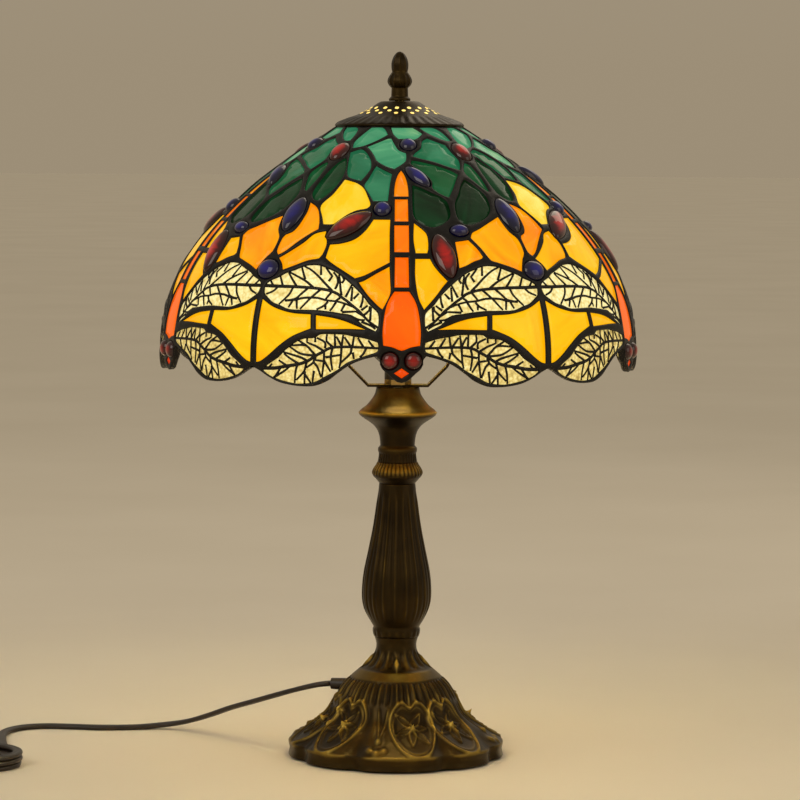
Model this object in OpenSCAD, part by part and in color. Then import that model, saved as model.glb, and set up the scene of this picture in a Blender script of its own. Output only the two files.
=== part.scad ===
// Dragonfly leaded-glass table lamp: shade, cap and finial on a harp, over a cast column and foot.
// Millimetres, +Z up, origin on the table at the centre of the foot; a dragonfly faces -Y.

/* [Shade] */
// Radius of the shade at its widest
shade_r = 151.5; // [150:0.5:153]
// Radius of the opening under the vented cap
crown_r = 38; // [37.5:0.1:38.5]
// Height of the opening above the table
crown_z = 403.5; // [403:0.1:404]
// Height of the widest line above the table
belly_z = 262; // [261:0.5:263]
// Thickness of the solder network
lead_t = 4.4; // [4:0.1:5]
// Thickness of the sheet glass
glass_t = 2.8; // [2:0.1:3]
// Height of a jewel above the solder
jewel_rise = 3; // [2:0.1:4]

/* [Foot and column] */
// Radius of the foot
foot_r = 68.5; // [67:0.5:72]
// Radius of the threaded pipe that clamps the castings
pipe_r = 5; // [4.5:0.1:5.2]
// Radius of the pipe's bore
pipe_bore_r = 3.4; // [3:0.1:3.6]
// Widest radius of the fluted baluster
baluster_r = 22; // [20:0.5:24]
// Widest radius of the cup under the socket
cup_r = 25; // [23:0.5:27]

/* [Harp and bulb] */
// Half of the harp's widest inside span
harp_half = 47; // [44:0.5:52]
// Width of the harp's flat strap
strap_w = 12; // [10:0.5:14]
// Thickness of the harp's flat strap
strap_t = 1.5; // [1.2:0.1:1.8]
// Radius of the bulb's glass
bulb_r = 30; // [26:0.5:31]
// Radius of the stud that carries the shade
stud_r = 3.15; // [3:0.05:3.3]

/* [Cord] */
// Width of the flat twin lead
cord_w = 6.4; // [6:0.1:6.8]
// Thickness of the flat twin lead
cord_t = 3.2; // [3:0.1:3.4]

/* [Hidden] */
$fn = 64;
panels = 5;
fit = 0.05;
gap = 0.3;

// ---------------------------------------------------------------- the dome of the shade
// The dome is a cubic curve from the crown to the belly, then an arc that turns in again.
dome_pull = [[106, 361], [shade_r, 320]];
dome_steps = 24;
skirt_bend = 130;
skirt_drop = 20;
hem_s = 206.5;
shell_steps = 14;

function cubic(p, q, r, s, t) =
    pow(1 - t, 3) * p + 3 * pow(1 - t, 2) * t * q + 3 * (1 - t) * t * t * r + pow(t, 3) * s;
function skirt(a) = [shade_r - skirt_bend * (1 - cos(a)), belly_z - skirt_bend * sin(a)];

dome_curve = concat(
    [for (i = [0:dome_steps])
        cubic([crown_r, crown_z], dome_pull[0], dome_pull[1], [shade_r, belly_z], i / dome_steps)],
    [for (i = [1:4]) skirt(i * skirt_drop / 4 / skirt_bend * 180 / PI)]);

// Running length along the curve at each of its points
dome_len = [for (i = 0, s = 0; i < len(dome_curve);
    s = s + (i + 1 < len(dome_curve) ? norm(dome_curve[i + 1] - dome_curve[i]) : 0), i = i + 1) s];
dome_r_of = [for (i = [0:len(dome_curve) - 1]) [dome_len[i], dome_curve[i][0]]];
dome_z_of = [for (i = [0:len(dome_curve) - 1]) [dome_len[i], dome_curve[i][1]]];

// Radius and height at a distance s down the dome, and the unit normal there
function dome(s) = [lookup(s, dome_r_of), lookup(s, dome_z_of)];
function dome_normal(s) =
    let (d = dome(s + 1) - dome(s - 1)) [-d[1], d[0]] / norm(d);
function dome_off(s, off) = dome(s) + off * dome_normal(s);
function dome_tilt(s) = let (n = dome_normal(s)) atan2(n[0], n[1]);

// Point on the dome at an angle from the front and a distance s down from the crown
function on_dome(a, s, off = 0) =
    let (p = dome_off(s, off)) [p[0] * sin(a), -p[0] * cos(a), p[1]];

// ---------------------------------------------------------------- the glass pattern
// One fifth of the shade, centred on a dragonfly. A point is [degrees from the front,
// millimetres down from the crown]; each list is the visible outline of one piece of glass.
crown_tiles = [
    [[-26.5, 3], [-15.5, 3], [-9.3, 11.5], [-16.5, 19], [-29.3, 27], [-31.7, 20], [-30.2, 12]],
    [[-8.3, 3], [11, 3], [17.2, 10], [9.2, 17.3], [-1.5, 16.5], [-5.3, 11]],
    [[16.4, 3], [30, 3], [34, 6], [36, 11], [36.3, 18.5], [32.3, 18.7], [26, 14]],
    [[-8.6, 15.5], [-6.3, 15.5], [-1, 28.5], [2.9, 31.5], [2.9, 36], [-3, 48.5], [-12, 40],
        [-17.3, 29], [-20.7, 25]],
    [[19.2, 15], [29.3, 22.5], [30.7, 38], [27.4, 49.5], [16.3, 41], [6, 35.3], [12, 26]]];
leaf_tiles = [
    [[-29.2, 31], [-24, 27.5], [-18.3, 32.5], [-13.8, 48], [-16.3, 60.5], [-22, 57], [-25.8, 45]],
    [[-11.6, 45], [-3.8, 53], [-4.6, 79], [-9.6, 79], [-14.4, 64.5], [-13.5, 58]],
    [[5.3, 39], [15.4, 43.5], [25.4, 53.5], [17, 75.5], [11.9, 67], [12.4, 61], [8.7, 50.5],
        [4.6, 43]],
    [[4.3, 63.5], [10.6, 70], [16.1, 83], [15.4, 92], [9.7, 100.5], [3.8, 91]],
    [[27, 58], [31.8, 72], [30.3, 87], [21.7, 98.5], [17.7, 92], [19, 78]],
    [[33, 41.5], [34.8, 43.5], [35.6, 56], [34.8, 70.5], [33.3, 70], [29, 53]],
    [[-30.3, 37], [-25.6, 48], [-25.6, 66], [-29.3, 79], [-34, 73], [-34, 53]]];
amber_tiles = [
    [[-23.5, 58.8], [-17.3, 62.5], [-10.4, 82], [-14.4, 87], [-20.6, 99], [-24, 99], [-27.8, 83],
        [-25.4, 73]],
    [[-32.5, 80.5], [-27.7, 87.5], [-25, 103], [-33, 120.5], [-34.6, 122.8], [-35.6, 119],
        [-35.7, 110], [-32.3, 101], [-31.7, 88]],
    [[-22.4, 104], [-21, 114], [-22, 124.5], [-31.6, 133.2], [-32.4, 129], [-34, 124.6],
        [-28, 113]],
    [[-8.6, 94.3], [-3.4, 94.3], [-3.1, 126.8], [-11.6, 137.8], [-20.3, 124], [-20, 114.3],
        [-13.2, 110]],
    [[-3.1, 129.5], [-2.7, 147], [-4.6, 157], [-8, 149], [-10.6, 140.3]],
    [[3.7, 97], [7.1, 105.3], [6.8, 120.2], [3.7, 120.2]],
    [[3.5, 124], [7.4, 124], [11.4, 139.3], [8, 149.5], [5.2, 157], [3.4, 147]],
    [[15, 111.7], [19, 110.2], [22.3, 122.5], [14.8, 130.7]],
    [[32, 92], [32.6, 99], [35.1, 110], [35.1, 120.5], [32.2, 133.8], [24, 125.5], [19.9, 109],
        [20.8, 105]]];
// Glass between the wings, on the left; the right side mirrors it
between_tiles = [
    [[-35.2, 152.5], [-30, 158.6], [-21.6, 161.1], [-21.3, 169.8], [-26, 175], [-35.2, 191.3]],
    [[-20.3, 161.5], [-13, 165], [-8.2, 169.8], [-20, 170.2]]];
// A dragonfly's tail from its tip down, then its thorax
body_tiles = [
    [[0, 49.5], [2.4, 67], [2.7, 74.7], [-2.7, 74.7], [-2.4, 67]],
    [[-2.3, 76.8], [2.3, 76.8], [2.1, 96], [-2.1, 96]],
    [[-2.2, 98.8], [2.2, 98.8], [2, 119.5], [-2, 119.5]],
    [[-1.8, 123], [1.8, 123], [1.8, 143.5], [-1.8, 143.5]],
    [[-1.8, 146], [1.8, 146], [4, 158], [4.4, 172], [4.2, 179.5], [0, 182.3], [-4.2, 179.5],
        [-4.4, 172], [-4, 158]]];
// The windows of the left wings, upper then lower; the right wings mirror them
wing_tiles = [
    [[-35.2, 144], [-30.5, 135.5], [-25, 129.8], [-20.8, 129.8], [-14.5, 137.5], [-9, 150],
        [-5.5, 160], [-5.8, 170.3], [-12, 161.3], [-20, 158.5], [-27.5, 158.3], [-34, 151]],
    [[-33.2, 195.3], [-28, 184.8], [-22.5, 175.8], [-16, 172.8], [-8.5, 175], [-5.4, 177.5],
        [-5.4, 183.5], [-10.5, 187.7], [-14.5, 194], [-19.5, 201.3], [-24, 203.2], [-30, 200.5]]];
// The open air below the solder: under a wing and its neighbour, and beside the head
air_tiles = [
    [[-36, 195.5], [-32.5, 199.5], [-28, 203.8], [-24, 205], [-24, 208.5], [-48, 208.5], [-48, 205],
        [-44, 203.8], [-39.5, 199.5]],
    [[-24.2, 205], [-20, 203.9], [-15, 197], [-11, 190], [-6.2, 186.4], [-4.9, 191], [-1.6, 202.8],
        [-1.6, 208.5], [-24.2, 208.5]],
    [[24.2, 205], [20, 203.9], [15, 197], [11, 190], [6.2, 186.4], [4.9, 191], [1.6, 202.8],
        [1.6, 208.5], [24.2, 208.5]]];

// Jewels: [degrees, distance down, half length, half width, lean of the long side from level]
red_jewels = [[36, 31, 9, 5.8, 90], [-15.8, 99.5, 15.8, 7, 41], [11.3, 121.8, 15.5, 7, -80]];
blue_jewels = [[4.6, 23.3, 5.8, 5.2, 90], [6.8, 56.2, 11.2, 4.9, -57], [36, 91, 14, 6.6, 90],
    [36, 133, 7.4, 6.6, 0], [-6.2, 86, 5.8, 5.4, 90], [17, 103.6, 6, 4.4, 0]];
eye_jewels = [[-2.65, 188.3, 5.2, 5.2, 0], [2.65, 188.3, 5.2, 5.2, 0]];
chin_tile = [[0, 194.2], [1.7, 197.6], [0, 201], [-1.7, 197.6]];

function flip(tile) = [for (p = tile) [-p[0], p[1]]];
function flips(tiles) = [for (t = tiles) flip(t)];
wing_windows = concat(wing_tiles, flips(wing_tiles));
all_windows = concat(crown_tiles, leaf_tiles, amber_tiles, between_tiles, flips(between_tiles),
    body_tiles, wing_windows, [chin_tile]);
all_jewels = concat(red_jewels, blue_jewels, eye_jewels);

// Midrib and side veins of the left wings, in the same coordinates
midribs = [
    [[-36, 144], [-22, 144.5], [-17, 146.5], [-12, 155], [-8.5, 162.5], [-5, 169]],
    [[-34, 194.5], [-26, 191.5], [-20, 186.5], [-15, 180.5], [-10, 180.3], [-5, 181]]];
side_veins = [
    [[-30.2, 144], [-32, 136.5]], [[-22, 144.3], [-29, 134.5]], [[-17, 146.3], [-25.6, 129.8]],
    [[-12.7, 153], [-12, 142]], [[-27.3, 144.2], [-30.4, 156]], [[-19.6, 145.6], [-24.6, 158.6]],
    [[-13.5, 152], [-17.5, 158.8]], [[-27, 192], [-30.5, 200]], [[-22.5, 188.3], [-24.5, 203.4]],
    [[-18.5, 185], [-17.5, 199.5]], [[-25, 191], [-29, 186.8]], [[-20.5, 187], [-26, 180.6]],
    [[-15, 180.5], [-13, 192.2]], [[-14, 180.4], [-16.5, 172.6]], [[-10, 180.3], [-11, 187.8]]];

module each_panel() {
    for (k = [0:panels - 1])
        rotate([0, 0, k * 360 / panels])
            children();
}

// Puts children on the dome, their +Z along the normal
module at_dome(a, s, off = 0) {
    translate(on_dome(a, s, off))
        rotate([0, 0, a])
            rotate([dome_tilt(s), 0, 0])
                children();
}

// A prism through the dome whose section is an outline given on the dome
module window(tile, depth = 9) {
    angles = [for (p = tile) p[0]];
    drops = [for (p = tile) p[1]];
    a = (min(angles) + max(angles)) / 2;
    s = (min(drops) + max(drops)) / 2;
    centre = on_dome(a, s);
    tilt = dome_tilt(s);
    across = [cos(a), sin(a), 0];
    up = [-sin(a) * cos(tilt), cos(a) * cos(tilt), sin(tilt)];
    flat = [for (p = tile)
        let (d = on_dome(p[0], p[1], -lead_t / 2) - centre) [d * across, d * up]];
    at_dome(a, s)
        translate([0, 0, -depth])
            linear_extrude(2 * depth)
                polygon(flat);
}

function oval(length, width, count = 16) =
    [for (i = [0:count - 1]) [length * cos(i * 360 / count), width * sin(i * 360 / count)]];

module jewel_outline(j) {
    rotate([0, 0, j[4]])
        polygon(oval(j[2], j[3]));
}

module jewel_window(j) {
    at_dome(j[0], j[1])
        translate([0, 0, -9])
            linear_extrude(18)
                jewel_outline(j);
}

// A flat-backed stone whose face is part of a sphere
module jewel(j) {
    rise = jewel_rise;
    ball = (j[2] * j[2] + rise * rise) / (2 * rise);
    at_dome(j[0], j[1])
        intersection() {
            translate([0, 0, -lead_t + 0.6])
                linear_extrude(lead_t + rise)
                    jewel_outline(j);
            translate([0, 0, rise - ball])
                sphere(ball, $fn = 96);
        }
}

// A layer of the dome between two depths under its outer face
module shell(outer, inner, top = 0) {
    stops = [for (i = [0:shell_steps]) top + (hem_s - top) * i / shell_steps];
    rotate_extrude()
        polygon(concat(
            [for (s = stops) dome_off(s, -outer)],
            [for (i = [shell_steps:-1:0]) dome_off(stops[i], -inner)]));
}

module glass(tiles) {
    skin = (lead_t - glass_t) / 2;
    intersection() {
        shell(skin, skin + glass_t);
        each_panel()
            for (t = tiles)
                window(t);
    }
}

// Thin strips that follow a line across the dome
module vein(line, width) {
    for (i = [0:len(line) - 2]) {
        p = on_dome(line[i][0], line[i][1]);
        q = on_dome(line[i + 1][0], line[i + 1][1]);
        a = (line[i][0] + line[i + 1][0]) / 2;
        s = (line[i][1] + line[i + 1][1]) / 2;
        up = [-sin(a) * cos(dome_tilt(s)), cos(a) * cos(dome_tilt(s)), sin(dome_tilt(s))];
        turn = atan2((q - p) * up, (q - p) * [cos(a), sin(a), 0]);
        at_dome(a, s)
            rotate([0, 0, turn])
                cube([norm(q - p) + width / 2, width, 8], center = true);
    }
}

module shade_leading() {
    color("#1b1714")
        difference() {
            shell(0, lead_t);
            each_panel() {
                for (t = all_windows)
                    window(t);
                for (j = all_jewels)
                    jewel_window(j);
                for (t = air_tiles)
                    window(t, 14);
            }
        }
}

module glass_crown() {
    color("#63c08a")
        glass(crown_tiles);
}

module glass_leaves() {
    color("#1f6b45")
        glass(leaf_tiles);
}

module glass_amber() {
    color("#f5b81e")
        glass(concat(amber_tiles, between_tiles, flips(between_tiles)));
}

module glass_dragonflies() {
    color("#f4691a")
        glass(concat(body_tiles, [chin_tile]));
}

module glass_wings() {
    color("#f1e6b8")
        glass(wing_windows);
}

module wing_filigree() {
    vein_out = 0.1;
    color("#15110e")
        intersection() {
            shell(vein_out, (lead_t - glass_t) / 2);
            each_panel()
                for (w = wing_windows)
                    window(w);
            each_panel()
                for (side = [0, 1])
                    mirror([side, 0, 0]) {
                        for (line = midribs)
                            vein(line, 1.6);
                        for (line = side_veins)
                            vein(line, 1.1);
                    }
        }
}

module jewels_red() {
    color("#c1121f")
        each_panel()
            for (j = red_jewels)
                jewel(j);
}

module jewels_blue() {
    color("#1d22b8")
        each_panel()
            for (j = blue_jewels)
                jewel(j);
}

module dragonfly_eyes() {
    color("#a30d14")
        each_panel()
            for (j = eye_jewels)
                jewel(j);
}

// ---------------------------------------------------------------- crown, cap and finial
module shade_ring() {
    top = dome_off(0, -0.1);
    bottom = dome_off(0, -2.3);
    color("#5a4a2e")
        rotate_extrude()
            polygon([[24, bottom[1]], bottom, top, [24, top[1]]]);
}

cap_top_z = 418;
cap_wall = 1.2;
vent_rows = [[16, 0], [21.5, 0.5], [27, 0]];
vents_a_row = 20;

module shade_cap() {
    color("#3a2b1c")
        difference() {
            rotate_extrude()
                polygon([[stud_r + fit, cap_top_z - cap_wall], [10, cap_top_z - cap_wall],
                    [36, 404.4], [38.2, 403.6], [40.2, 403.4], [41, 405], [39.6, 407],
                    [36.5, 406.6], [10.4, cap_top_z], [stud_r + fit, cap_top_z]]);
            for (row = vent_rows)
                for (i = [0:vents_a_row - 1])
                    rotate([0, 0, (i + row[1]) * 360 / vents_a_row])
                        translate([0, -row[0], 400])
                            cylinder(r = 1, h = 20);
        }
}

module finial() {
    z = cap_top_z + gap;
    color("#2c2118")
        difference() {
            rotate_extrude()
                polygon([[0, z], [6.7, z], [6.9, z + 1.2], [5.4, z + 2.8], [5.2, z + 8],
                    [7, z + 10], [7.8, z + 12.4], [7, z + 15], [4.9, z + 18.2], [5.3, z + 20.5],
                    [5.3, z + 24], [4.2, z + 27.5], [2, z + 30.4], [0, z + 31.2]]);
            translate([0, 0, z - 1])
                cylinder(r = stud_r + fit, h = 19);
        }
}

// ---------------------------------------------------------------- harp, socket and bulb
plate_z = 237.8;
harp_top_z = 396;
// Right half of the strap's middle line
harp_low = [[19, plate_z], [31, 250], [44, 276]];
harp_high_pull = [[56, 310], [50, 372], [16, 392]];

function harp_side() = concat([[0, plate_z]], harp_low,
    [for (i = [1:12]) cubic(harp_low[2], harp_high_pull[0], harp_high_pull[1],
        harp_high_pull[2], i / 12)],
    [[8, harp_top_z], [0, harp_top_z]]);

// Moves each point of a line sideways along the bisector of its neighbours
function beside(line, off) = [for (i = [0:len(line) - 1])
    let (p = line[max(i - 1, 0)], q = line[min(i + 1, len(line) - 1)], d = (q - p) / norm(q - p))
        line[i] + off * [d[1], -d[0]]];
function reversed(line) = [for (i = [len(line) - 1:-1:0]) line[i]];

module harp() {
    side = harp_side();
    color("#4a3a24")
        difference() {
            for (turn = [0, 180])
                rotate([0, 0, turn])
                    translate([0, strap_w / 2, 0])
                        rotate([90, 0, 0])
                            linear_extrude(strap_w)
                                polygon(concat(beside(side, strap_t / 2),
                                    reversed(beside(side, -strap_t / 2))));
            translate([0, 0, plate_z - 2])
                cylinder(r = pipe_r, h = 4);
            translate([0, 0, harp_top_z - 3])
                cylinder(r = stud_r, h = 6);
        }
}

module harp_lock_nut() {
    color("#8c6f3a")
        difference() {
            translate([0, 0, plate_z + strap_t / 2])
                cylinder(r = 8.6, h = 3.2, $fn = 6);
            translate([0, 0, plate_z])
                cylinder(r = pipe_r, h = 6);
        }
}

module harp_stud() {
    color("#a8864a") {
        translate([0, 0, harp_top_z - 5])
            cylinder(r = stud_r, h = 42.5);
        translate([0, 0, harp_top_z + strap_t / 2])
            cylinder(r = 6.5, h = 2.6, $fn = 6);
        translate([0, 0, harp_top_z - 5])
            cylinder(r = 6.5, h = 5 - strap_t / 2, $fn = 6);
    }
}

rest_z = harp_top_z + strap_t / 2 + 2.6;

module shade_rest() {
    color("#6b5836")
        difference() {
            translate([0, 0, rest_z])
                cylinder(r = 31, h = 1.6);
            translate([0, 0, rest_z - 1])
                cylinder(r = stud_r, h = 4);
            for (i = [0:5])
                rotate([0, 0, i * 60])
                    translate([18, 0, rest_z - 1])
                        cylinder(r = 5.5, h = 4);
        }
}

socket_z = 241.8;

module socket_shell() {
    color("#1c1815")
        rotate_extrude()
            polygon([[pipe_r, socket_z], [8.6, socket_z], [8.6, socket_z + 8],
                [16.5, socket_z + 15], [16.5, socket_z + 46], [15.3, socket_z + 46],
                [15.3, socket_z + 15.6], [7.6, socket_z + 8.8], [pipe_r, socket_z + 8.8]]);
}

module socket_insulator() {
    color("#d8d2c2")
        difference() {
            translate([0, 0, socket_z + 15.8])
                cylinder(r = 15.2, h = 3);
            translate([0, 0, socket_z + 15])
                cylinder(r = 1.6, h = 5);
        }
}

module socket_contact() {
    color("#c9a24a")
        translate([0, 0, socket_z + 14])
            cylinder(r = 1.6, h = 6);
}

module socket_screw_shell() {
    color("#c9a24a")
        difference() {
            translate([0, 0, socket_z + 18.8])
                cylinder(r = 14, h = 26);
            translate([0, 0, socket_z + 18])
                cylinder(r = 13.2, h = 28);
        }
}

bulb_z = socket_z + 20.6;
bulb_mid_z = bulb_z + 72;

module bulb_tip() {
    color("#c9a24a")
        translate([0, 0, bulb_z])
            cylinder(r = 4.5, h = 1.8);
}

module bulb_base() {
    color("#b8b4aa")
        difference() {
            translate([0, 0, bulb_z + 1.8])
                cylinder(r = 13.1, h = 24);
            translate([0, 0, bulb_z + 4])
                cylinder(r = 12.1, h = 24);
        }
}

// Outline of the bulb from its neck to its top, for the outer or the inner face
function bulb_side(wall) = let (r = bulb_r - wall, from = -56) concat(
    [[12.9 - wall, bulb_z + 26], [13.6 - wall, bulb_z + 34]],
    [for (i = [0:12]) let (a = from + (90 - from) * i / 12)
        [i == 12 ? 0 : r * cos(a), bulb_mid_z + r * sin(a)]]);

module bulb_glass() {
    color("#fff4d6", 0.6)
        rotate_extrude()
            polygon(concat(bulb_side(0), reversed(bulb_side(1))));
}

module bulb_stem() {
    color("#e8e4d8")
        translate([0, 0, bulb_z + 4.5])
            cylinder(r = 4, h = 42);
}

module bulb_filaments() {
    color("#ffd27a")
        for (i = [0:3])
            rotate([0, 0, 45 + i * 90])
                translate([6, 0, bulb_z + 46.5])
                    rotate([0, 6, 0])
                        cylinder(r = 0.9, h = 38);
}

// ---------------------------------------------------------------- foot and column
foot_z = 1.2;
neck_z = 77;
collar_z = 175.5;
cup_z = 188.8;
cord_exit_z = 44;
cord_exit_turn = 164;
notch_turns = [-24.5, 27];

module base_felt() {
    color("#1d2a1c")
        cylinder(r = foot_r - 5, h = foot_z);
}

// The cord's way out of the foot, along its own axis
module at_cord_exit() {
    translate([0, 0, cord_exit_z])
        rotate([0, 0, cord_exit_turn])
            rotate([0, 90, 0])
                children();
}

module base_casting() {
    color("#4b3a1c")
        difference() {
            rotate_extrude()
                polygon([[0, foot_z], [foot_r, foot_z], [foot_r, 11.5], [54.5, 20], [44.4, 27],
                    [40, 34.5], [36, 42], [31, 48.6], [27, 52], [22.4, 56], [17.6, 60],
                    [14, 65], [12.8, 71.6], [14, neck_z], [0, neck_z]]);
            rotate_extrude()
                polygon([[0, foot_z - 1], [63.5, foot_z - 1], [63.5, 9], [51.5, 16.5],
                    [40.5, 24], [35.5, 32], [31.5, 39.5], [25.5, 46], [16, 50], [0, 50]]);
            cylinder(r = pipe_r, h = 100);
            for (quarter = [0:90:270])
                for (turn = notch_turns)
                    rotate([0, 0, quarter + turn])
                        translate([0, -foot_r - 4.5, 0])
                            cylinder(r = 7, h = 40);
            at_cord_exit()
                cylinder(r = 4.3, h = 60);
        }
}

module pipe_washer() {
    color("#9a9a92")
        difference() {
            translate([0, 0, 48.4])
                cylinder(r = 14, h = 1.6);
            cylinder(r = pipe_r, h = 100);
        }
}

module pipe_nut() {
    color("#8c6f3a")
        difference() {
            translate([0, 0, 43.4])
                cylinder(r = 9, h = 5, $fn = 6);
            cylinder(r = pipe_r, h = 100);
        }
}

module threaded_pipe() {
    color("#b5b2a8")
        difference() {
            translate([0, 0, 40])
                cylinder(r = pipe_r, h = 208);
            translate([0, 0, 39])
                cylinder(r = pipe_bore_r, h = 210);
        }
}

module lead_wires() {
    color("#d9c27a")
        for (side = [-1, 1])
            translate([1.5 * side, 0, 39.5])
                cylinder(r = 1.1, h = 214);
}

module column_baluster() {
    color("#33251a")
        difference() {
            rotate_extrude()
                polygon([[pipe_r, neck_z], [14.4, neck_z], [15, 80.5], [14.6, 83], [18.9, 90.7],
                    [21.4, 98], [baluster_r, 106], [21, 117.6], [17.9, 133], [15, 148],
                    [12.8, 163.6], [11.5, collar_z], [pipe_r, collar_z]]);
            for (i = [0:7])
                rotate([0, 0, 22.5 + i * 45])
                    translate([0, -25.5, 86])
                        cylinder(r1 = 4.4, r2 = 5.4, h = 60);
        }
}

module column_collar() {
    color("#33251a")
        difference() {
            rotate_extrude()
                polygon([[pipe_r, collar_z], [11.8, collar_z], [14.6, 178.2], [16, 182.4],
                    [14.6, 186.6], [11.8, cup_z], [pipe_r, cup_z]]);
            for (i = [0:15])
                rotate([0, 0, i * 22.5])
                    translate([0, -17, 170])
                        cylinder(r = 1.6, h = 24);
        }
}

module socket_cup() {
    color("#3a2a1c")
        rotate_extrude()
            polygon([[pipe_r, cup_z], [10.8, cup_z], [10.8, 194.5], [12.3, 195.5], [12.3, 198],
                [11, 199.5], [11.8, 206], [16, 213], [cup_r - 1, 218.6], [cup_r, 220.5],
                [cup_r - 1.6, 222.4], [17.5, 228], [14.5, 233], [13.6, plate_z - strap_t / 2],
                [10.5, plate_z - strap_t / 2], [10.5, 229], [pipe_r, 229]]);
}

// ---------------------------------------------------------------- cord, switch and plug
lie_z = cord_t / 2 + 0.1;
// The coiled hank: its middle, and the inner and outer radius of its two round ends
hank_at = [-292, -44];
hank_straight = 56;
hank_in_r = 16;
hank_out_r = 29;
hank_h = 3 * cord_t + 0.6;
// The lead from the foot down to the table, and on to the hank's right end
run_route = [[-42, 12, 44], [-50, 14.5, 42.8], [-64, 21, 38.5], [-78, 31, 33], [-92, 43, 27],
    [-108, 58, 20], [-124, 73, 12], [-139, 84, 6], [-154, 89, 3], [-172, 87, lie_z],
    [-195, 85, lie_z], [-214, 88, lie_z], [-232, 90, lie_z], [-246, 85, lie_z],
    [-255, 74, lie_z], [-258, 60, lie_z], [-257, 40, lie_z], [-254, 20, lie_z],
    [-250, 2, lie_z], [-245.5, -14, lie_z]];
// The lead from the hank's left end to the switch, then round to the plug
switch_at = [-346, 34];
switch_l = 48;
switch_w = 24;
plug_at = [-291, 56];
plug_l = 30;
plug_z = 9;
turn_r = (plug_at[0] - switch_at[0]) / 2;
turn_at = [switch_at[0] + turn_r, switch_at[1] + switch_l / 2 + 10];
tail_route = [for (y = [-26, -14, -2, switch_at[1] - switch_l / 2]) [switch_at[0], y, lie_z]];
lead_route = concat(
    [[switch_at[0], switch_at[1] + switch_l / 2, lie_z]],
    [for (i = [0:8]) [turn_at[0] - turn_r * cos(i * 22.5), turn_at[1] + turn_r * sin(i * 22.5),
        lie_z + (plug_z - lie_z) * pow(i / 8, 2)]],
    [[plug_at[0], plug_at[1], plug_z]]);

// A point of a smooth line through four neighbours, between the middle two
function spline(p, q, r, s, t) = 0.5 * (2 * q + (r - p) * t
    + (2 * p - 5 * q + 4 * r - s) * t * t + (3 * q - p - 3 * r + s) * t * t * t);
function smooth(route, steps) = let (n = len(route) - 1) concat(
    [for (i = [0:n - 1]) for (k = [0:steps - 1])
        spline(route[max(i - 1, 0)], route[i], route[i + 1], route[min(i + 2, n)], k / steps)],
    [route[n]]);

// Section of the flat lead at each point of its line, with its width level
function ring_at(line, i, sides = 8) =
    let (n = len(line) - 1, d = line[min(i + 1, n)] - line[max(i - 1, 0)], u = d / norm(d),
        side = [u[1], -u[0], 0] / norm([u[0], u[1]]), up = cross(side, u))
        [for (k = [0:sides - 1]) let (a = (k + 0.5) * 360 / sides)
            line[i] + cord_w / 2 * cos(a) * side / cos(180 / sides)
                + cord_t / 2 * sin(a) * up / cos(180 / sides)];

module flat_lead(route, steps) {
    line = smooth(route, steps);
    sides = 8;
    last = len(line) - 1;
    points = [for (i = [0:last]) each ring_at(line, i)];
    faces = concat(
        [[for (k = [0:sides - 1]) k]],
        [for (i = [0:last - 1]) for (k = [0:sides - 1])
            [i * sides + k, (i + 1) * sides + k, (i + 1) * sides + (k + 1) % sides,
                i * sides + (k + 1) % sides]],
        [[for (k = [sides - 1:-1:0]) last * sides + k]]);
    polyhedron(points, faces);
}

module racetrack(r) {
    for (side = [-1, 1])
        translate([side * hank_straight / 2, 0])
            circle(r);
    square([hank_straight, 2 * r], center = true);
}

module cord_bushing() {
    color("#15100c")
        at_cord_exit()
            translate([0, 0, 23])
                difference() {
                    cylinder(r1 = 4.3, r2 = 3.6, h = 20);
                    translate([0, 0, -1])
                        cylinder(r = 1.5, h = 12);
                }
}

module cord_run() {
    color("#2b1a0e")
        flat_lead(run_route, 2);
}

module cord_hank() {
    color("#2b1a0e")
        translate([hank_at[0], hank_at[1], 0.1])
            linear_extrude(hank_h)
                difference() {
                    racetrack(hank_out_r);
                    racetrack(hank_in_r);
                }
}

module cord_tie() {
    tie_w = 4;
    wall = 1.2;
    color("#0e0d0c")
        translate([hank_at[0] + 6, hank_at[1] + (hank_in_r + hank_out_r) / 2, 0])
            difference() {
                translate([0, 0, hank_h / 2 + 0.1])
                    cube([tie_w, hank_out_r - hank_in_r + 2 * wall, hank_h + 2 * wall],
                        center = true);
                translate([0, 0, hank_h / 2 + 0.1])
                    cube([tie_w + 1, hank_out_r - hank_in_r, hank_h], center = true);
                translate([0, 0, -5])
                    cube([tie_w + 1, 40, 10], center = true);
            }
}

module cord_tail() {
    color("#2b1a0e") {
        flat_lead(tail_route, 1);
        flat_lead(lead_route, 2);
    }
}

switch_split = 8;
switch_h = 15;
rocker_z = 13;
rocker_pin_r = 1.2;
screw_r = 1.3;
blade_x = 6.35;

// Puts children at the switch, its long side along Y
module at_switch(z = 0) {
    translate([switch_at[0], switch_at[1], z])
        children();
}

module switch_body(z, h) {
    corner = 6;
    at_switch(z)
        linear_extrude(h) {
            square([switch_w - 2 * corner, switch_l], center = true);
            square([switch_w, switch_l - 2 * corner], center = true);
            for (x = [-1, 1])
                for (y = [-1, 1])
                    translate([x * (switch_w / 2 - corner), y * (switch_l / 2 - corner)])
                        circle(corner);
        }
}

// The two screws that hold the switch's halves together
module switch_screw_pair(z, r, h) {
    at_switch(z)
        for (y = [-1, 1])
            translate([8.5, y * 14, 0])
                cylinder(r = r, h = h);
}

module switch_bottom() {
    color("#16120f")
        difference() {
            switch_body(0, switch_split);
            at_switch(7)
                cube([12, 36, 10], center = true);
            switch_screw_pair(2, screw_r, 10);
        }
}

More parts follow.
